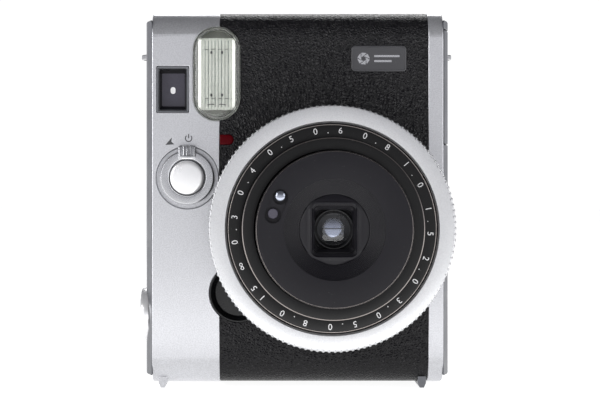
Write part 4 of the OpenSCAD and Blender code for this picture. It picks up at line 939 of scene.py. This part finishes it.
def make_viewfinder():
    """Satin rim in dark paint that stands for its shade, black funnel, smoked window and the small
    target mark.
    """
    w, h = size_mm("viewfinder_bezel")
    rim = 0.78
    w1, h1 = w - 2 * rim, h - 2 * rim
    deep = FACE_Y + 3.0
    # painted shade: the rim takes the dark side-panel paint for the shade on its chamfered sides
    loft("viewfinder_rim", "viewfinder_bezel", rounded(
        (w, h, 0.5, FACE_Y + 0.5), (w, h, 0.5, FACE_Y - 0.12),
        (w - 0.3, h - 0.3, 0.45, FACE_Y - 0.27), (w - 0.8, h - 0.8, 0.4, FACE_Y - 0.22),
        (w1, h1, 0.3, FACE_Y + 0.25), (w1, h1, 0.3, FACE_Y + 0.9),
        (w - 0.4, h - 0.4, 0.4, FACE_Y + 0.9)), FINDER, "side",
        replaced=["viewfinder_bezel"], closed=True, angle=30)
    loft("viewfinder_funnel", "viewfinder_bezel", rounded(
        (w1 + 0.4, h1 + 0.4, 0.3, FACE_Y + 0.45), (w1 - 0.05, h1 - 0.05, 0.3, FACE_Y + 0.45),
        (w1 - 1.3, h1 - 2.3, 0.3, deep), (w1 + 0.4, h1 + 0.4, 0.3, deep)),
        FINDER, "satin_black", closed=True)
    loft("viewfinder_pane", "viewfinder_window", rounded(
        (w1 - 0.6, h1 - 1.0, 0.3, deep + 0.1), (w1 - 0.6, h1 - 1.0, 0.3, deep + 0.7)),
        FINDER, "smoke", replaced=["viewfinder_window"])
    # The target mark is real; its white print is painted light, for the light that shines through
    # it from behind.
    mark = [(FINDER.x - 0.1 + x, FINDER.z - 0.15 + z) for x, z in soft_rect(1.45, 2.05, 0.7)]
    plate("viewfinder_target", "viewfinder_window", [mark], deep + 0.1, 0.04, "print")


# ---------------------------------------------------------------- controls and trim

def make_controls():
    """Power lever with its ribbed thumb piece and signs, and the front shutter button."""
    front = box_mm("front_shutter_button")[0].y
    r = radius_mm("front_shutter_button")
    high = box_mm("power_lever")[1]
    ring_r = radius_mm("power_lever")
    face = FACE_Y - 2.0
    lathe("power_ring", "power_lever", [
        (r + 0.4, face + 0.2), (r + 0.75, face), (ring_r - 0.35, face), (ring_r, face + 0.35),
        (ring_r, FACE_Y + 1.0), (3.4, FACE_Y + 1.0), (3.4, high.y), (2.6, high.y),
        (2.6, FACE_Y + 0.2), (r + 0.4, FACE_Y + 0.2)], SHUTTER, "lever", radius=0.12,
        replaced=["power_lever"])
    make_thumb_piece(r + 0.45, high.z - SHUTTER.z, face)
    back = box_mm("front_shutter_button")[1].y
    dome = [(0, back), (2.2, back), (2.2, front + 2.0), (r, front + 2.0), (r, front + 0.75),
            (r - 0.1, front + 0.5), (r - 0.35, front + 0.28), (r - 0.75, front + 0.16)]
    dome += [((r - 0.75) * (1 - k / 6), front + 0.16 - 0.16 * math.sin(math.pi / 2 * k / 6))
             for k in range(1, 6)]
    dome.append((0, front))
    disc("shutter_cap", "front_shutter_button", dome, SHUTTER, "button",
         replaced=["front_shutter_button"])
    arrow_r = 11.8
    centre = math.radians(111)
    tip = math.radians(124)
    arrow = [polar(SHUTTER.x, SHUTTER.z, q, a) for q, a in
             ((arrow_r, tip), (arrow_r - 1.1, centre), (arrow_r, centre + 0.05),
              (arrow_r + 1.1, centre))]
    plate("power_arrow", "front_cover", [arrow], FACE_Y + 0.002, 0.03, "dark_print")
    icon_x, icon_z = SHUTTER.x + 0.4, SHUTTER.z + 11.8
    outline = [polar(icon_x, icon_z, radius, math.radians(sweep * (14 * k - 140) - 90))
               for radius, sweep in ((1.12, 1), (0.82, -1)) for k in range(21)]
    bar = strip(icon_x, icon_z + 0.65, 0.3, 1.3)
    plate("power_icon", "front_cover", [outline, bar], FACE_Y + 0.002, 0.03, "dark_print")


def make_thumb_piece(inner, outer, face):
    """Thumb piece on the power ring: an arched top with upright ribs."""
    half, ribs = 2.6, 4
    front, back = face - 0.6, FACE_Y - 0.45
    base = inner + 1.0

    def build(work):
        columns = []
        steps = ribs * 8
        for i in range(steps + 1):
            x = -half + 2 * half * i / steps
            groove = 0.0
            span = 2 * half * 0.78
            if abs(x) < span / 2:
                groove = 0.5 * (0.5 - 0.5 * math.cos(TURN * (x + span / 2) / (span / ribs)))
            edge = 0.35 * max(0.0, (abs(x) - half + 0.35) / 0.35) ** 2
            top = math.sqrt(max(outer * outer - x * x, 0))
            rows = [(base - 1.0, face + 0.05), (base - 0.4, face - 0.1),
                    (base, front + edge + 0.02),
                    (base + 0.12, front + edge + groove), (top - 0.7, front + edge + groove),
                    (top - 0.2, front + edge + groove + 0.12), (top, front + edge + groove + 0.45),
                    (top, back), (base - 1.0, back)]
            columns.append([vert(work, SHUTTER.x + x, y, SHUTTER.z + z) for z, y in rows])
        skin(work, columns, closed=False)

    mesh = mesh_of("power_thumb_piece", build)
    smooth(mesh, 40)
    add_piece("power_thumb_piece", mesh, "power_lever", "lever")


def make_side_button():
    """Side shutter button: a turned cap with a dished face on a short stem, along x."""
    low, high = box_mm("side_shutter_button")
    r = (high.z - low.z) / 2
    middle = (low + high) / 2
    out = low.x
    stem = high.x
    profile = [(0, out + 0.35), (r - 2.2, out + 0.2), (r - 1.3, out), (r - 0.9, out),
               (r - 0.25, out + 0.3), (r, out + 0.75), (r, out + 2.65), (2.5, out + 2.65),
               (2.5, stem), (0, stem)]
    disc("side_button_cap", "side_shutter_button", profile, middle, "button", segments=96,
         replaced=["side_shutter_button"], place=sideways)


def make_lamp():
    """The red self-timer lamp, slightly crowned."""
    low, high = box_mm("self_timer_lamp")
    w, h = size_mm("self_timer_lamp")
    centre = Vector((low.x, 0, (low.z + high.z) / 2))

    def outline(inset):
        r = h / 2 - inset
        points = [(inset, -r), (w - h / 2, -r)]
        points += [polar(w - h / 2, 0, r, math.radians(a)) for a in range(-80, 81, 10)]
        return points + [(w - h / 2, r), (inset, r)]

    loft("lamp_lens", "self_timer_lamp", [
        (outline(0.0), high.y), (outline(0.0), FACE_Y + 0.02), (outline(0.12), FACE_Y - 0.06),
        (outline(0.4), FACE_Y - 0.12), (outline(0.9), FACE_Y - 0.15)], centre, "red",
        replaced=["self_timer_lamp"])


def make_name_plate():
    """Blank badge: a dark framed plate with a plain six-blade iris and two bars."""
    low, high = box_mm("name_plate")
    w, h = size_mm("name_plate")
    top = low.y
    loft("badge_plate", "name_plate", rounded(
        (w, h, 1.15, high.y), (w, h, 1.15, top - 0.02), (w - 0.25, h - 0.25, 1.05, top - 0.1),
        (w - 0.7, h - 0.7, 0.85, top - 0.1), (w - 0.95, h - 0.95, 0.75, top + 0.02)),
        PLATE, "grey", replaced=["name_plate"])
    shapes = []
    cx, cz = PLATE.x - 4.6, PLATE.z
    for k in range(6):
        a0, a1 = TURN * k / 6, TURN * (k + 0.82) / 6
        shapes.append([polar(cx, cz, 1.9, a0), polar(cx, cz, 1.9, a1),
                       polar(cx, cz, 0.75, a1 + 0.75)])
    for dz, length in ((0.75, 7.6), (-0.75, 5.2)):
        shapes.append(strip(PLATE.x - 1.4 + length / 2, cz + dz, length, 0.6))
    plate("badge_emblem", "name_plate", shapes, top + 0.03, 0.05, "lever")


# ---------------------------------------------------------------- back of the camera

def make_display():
    """The film counter: a plain digit pair and a small battery sign under the window."""
    low, high = box_mm("display_window")
    middle = (low + high) / 2
    refine("display_window", "display", width=0.15)
    y = high.y + 0.005
    print_glyphs("display_digits", "display_window", [
        ("10", 7.5, middle.x, y, middle.z + 2.0, 0)], "dark_print", facing=1)
    cell = [strip(middle.x + 1.35 - 1.5 * k, middle.z - 5.6, 1.1, 2.0) for k in range(3)]
    plate("display_cell", "display_window", cell, y - 0.01, -0.03, "dark_print")


def key_signs():
    """Plain signs on the rear keys: bolt, petals, clock, sun and three dots."""
    def at(node):
        middle = middle_mm(node)
        return middle.x, middle.z

    def ring_of(x, z, radius, size, count):
        return [circle(cx, cz, size, 10) for cx, cz in circle(x, z, radius, count)]

    x, z = at("flash_button")
    bolt = [(x + 0.1, z + 1.2), (x - 0.7, z - 0.15), (x - 0.05, z - 0.15), (x - 0.2, z - 1.2),
            (x + 0.7, z + 0.2), (x + 0.05, z + 0.2)]
    signs = {"flash_button": [bolt]}
    x, z = at("macro_button")
    signs["macro_button"] = ring_of(x, z, 0.62, 0.36, 5)
    x, z = at("timer_button")
    signs["timer_button"] = [strip(x, z + 0.435, 0.26, 1.13), strip(x + 0.335, z, 0.93, 0.26)]
    signs["timer_button"] += ring_of(x, z, 1.25, 0.13, 12)
    x, z = at("brightness_button")
    signs["brightness_button"] = ring_of(x, z, 0.0, 0.5, 1) + ring_of(x, z, 1.05, 0.17, 8)
    x, z = at("mode_button")
    signs["mode_button"] = ring_of(x, z, 1.3, 0.22, 3)
    return signs


def make_back():
    """Keys with their signs, the control panel, the door and the windows at the back."""
    for node in ("mode_button", "flash_button", "macro_button", "timer_button",
                 "brightness_button"):
        refine(node, "grey", width=0.25, segments=3)
    for node, shapes in key_signs().items():
        plate(node + "_sign", node, shapes, box_mm(node)[1].y - 0.005, -0.03, "print")
    refine("control_panel", "satin_black", width=0.12)
    make_display()
    refine("film_door", "black", width=0, merge_flats=False)
    refine("film_window", "smoke", width=0.15)
    refine("door_latch", "grey", width=0.12)
    refine("eyepiece_frame", "rubber", width=0.25)
    refine("eyepiece_lens", "smoke", width=0.12)


# ---------------------------------------------------------------- shells and small parts

def make_shells():
    """Casings, panels and fittings whose CAD shape stays, with softened edges."""
    refine("front_cover", "silver", width=0.22, segments=3)
    refine("leatherette", "leatherette", width=0.12)
    refine("side_panel_left", "side", width=0.2)
    refine("side_panel_right", "side", width=0.2)
    refine("battery_door", "side", width=0.15)
    refine("rear_housing", "black", width=0.25)
    refine("lens_mount_base", "satin_black", width=0.15)
    refine("finger_rest", "satin_black", width=0.12)
    refine("exit_flap", "black", width=0.12)
    refine("strap_lugs", "steel", width=0.25, segments=3)
    refine("tripod_socket", "steel", width=0.25)
    refine("foot_left", "silver", width=0.12)
    refine("foot_right", "side", width=0.12)
    refine("housing_screws", "steel", width=0.08)


INNER_FINISH = {
    "light_tunnel": "flat_black", "shutter_unit": "satin_black", "viewfinder_tube": "flat_black",
    "lens_cover_upper": "satin_black", "lens_cover_lower": "satin_black",
    "flash_capacitor": "grey", "battery": "grey", "film_springs": "steel",
    "roller_brackets": "steel", "front_roller": "steel", "rear_roller": "steel",
    "idler_gear": "nylon", "motor_pinion": "brass", "eject_motor": "steel",
    "main_circuit_board": "board",
}


def finish_inner_parts():
    """Gives the CAD nodes that stay as they are their own finish."""
    for node, material in INNER_FINISH.items():
        mesh = NODES[node].data
        mesh.materials.clear()
        mesh.materials.append(MATERIALS[material])


# ---------------------------------------------------------------- camera, light and floor

CAMERA_DISTANCE = 0.450
CAMERA_X = -0.0092
CAMERA_Z = 0.0566
FOCAL_LENGTH = 90.06
SIDE_SHIFT = 0.055
FLOOR_HALF = 12.0
FLOOR_GREY = 0.4
FLOOR_GLOW = 0.93
BACKDROP_GLOW = 1.05
LOW_GLOW, HIGH_GLOW = 0.74, 0.14
WHITE = (1.0, 1.0, 1.0, 1.0)


def make_camera():
    """A level camera straight in front of the object."""
    lens = bpy.data.cameras.new("camera")
    lens.sensor_width = 36.0
    lens.lens = FOCAL_LENGTH
    lens.shift_x = SIDE_SHIFT
    lens.clip_start = 0.01
    camera = put_in_scene("camera", lens)
    camera.location = (CAMERA_X, FACE_Y * MM - CAMERA_DISTANCE, CAMERA_Z)
    camera.rotation_euler = (math.radians(90), 0, 0)
    bpy.context.scene.camera = camera


def add_softbox(name, place, aim, size, power):
    """A soft rectangular light that looks at a point."""
    data = bpy.data.lights.new(name, "AREA")
    data.shape = "RECTANGLE"
    data.size, data.size_y = size
    data.energy = power
    light = put_in_scene(name, data)
    light.location = place
    light.rotation_euler = (Vector(aim) - Vector(place)).to_track_quat("-Z", "Y").to_euler()


def make_room():
    """White floor, white backdrop and a studio that is bright below and darker above."""
    def build(work):
        work.faces.new([work.verts.new((x, y, 0.0)) for x, y in
                        strip(0, 0, 2 * FLOOR_HALF, 2 * FLOOR_HALF)])

    floor = put_in_scene("floor", mesh_of("floor", build))
    material = bare_material("Floor", Base_Color=(FLOOR_GREY, FLOOR_GREY, FLOOR_GREY, 1.0),
                             Roughness=0.8, Emission_Color=WHITE,
                             Emission_Strength=FLOOR_GLOW)[0]
    floor.data.materials.append(material)
    world = bpy.data.worlds.new("Studio")
    bpy.context.scene.world = world
    world.use_nodes = True
    tree = world.node_tree
    tree.nodes.clear()
    place = add_node(tree, "ShaderNodeTexCoord")
    split = add_node(tree, "ShaderNodeSeparateXYZ", {0: place.outputs["Generated"]})
    level = ranged(tree, split.outputs["Z"], 0.08, 0.36, LOW_GLOW, HIGH_GLOW)
    studio = add_node(tree, "ShaderNodeBackground", {
        "Color": (0.95, 0.95, 1.0, 1.0), "Strength": level})
    backdrop = add_node(tree, "ShaderNodeBackground", {"Color": WHITE, "Strength": BACKDROP_GLOW})
    path = add_node(tree, "ShaderNodeLightPath")
    light = add_node(tree, "ShaderNodeMixShader", {
        "Fac": path.outputs["Is Camera Ray"], 1: studio.outputs[0], 2: backdrop.outputs[0]})
    add_node(tree, "ShaderNodeOutputWorld", {"Surface": light.outputs[0]})
    bpy.context.scene.view_settings.view_transform = "Standard"
    add_softbox("key", (-0.75, -0.65, 0.30), (0, 0, 0.05), (0.4, 0.6), 3.6)
    add_softbox("fill", (0.8, -0.6, 0.22), (0, 0, 0.05), (0.4, 0.6), 2.4)
    add_softbox("low front", (0, -0.116, 0.002), (0, -0.114, 1.0), (0.5, 0.10), 0.27)
    add_softbox("rear", (0.1, 0.9, 0.8), (0, 0, 0.05), (0.8, 0.5), 5.0)


make_camera()
make_room()
make_mode_ring()
make_scale_ring()
make_barrels()
make_sensors()
make_cone_and_hood()
make_lens()
make_flash()
make_viewfinder()
make_controls()
make_side_button()
make_lamp()
make_name_plate()
make_back()
make_shells()
finish_inner_parts()
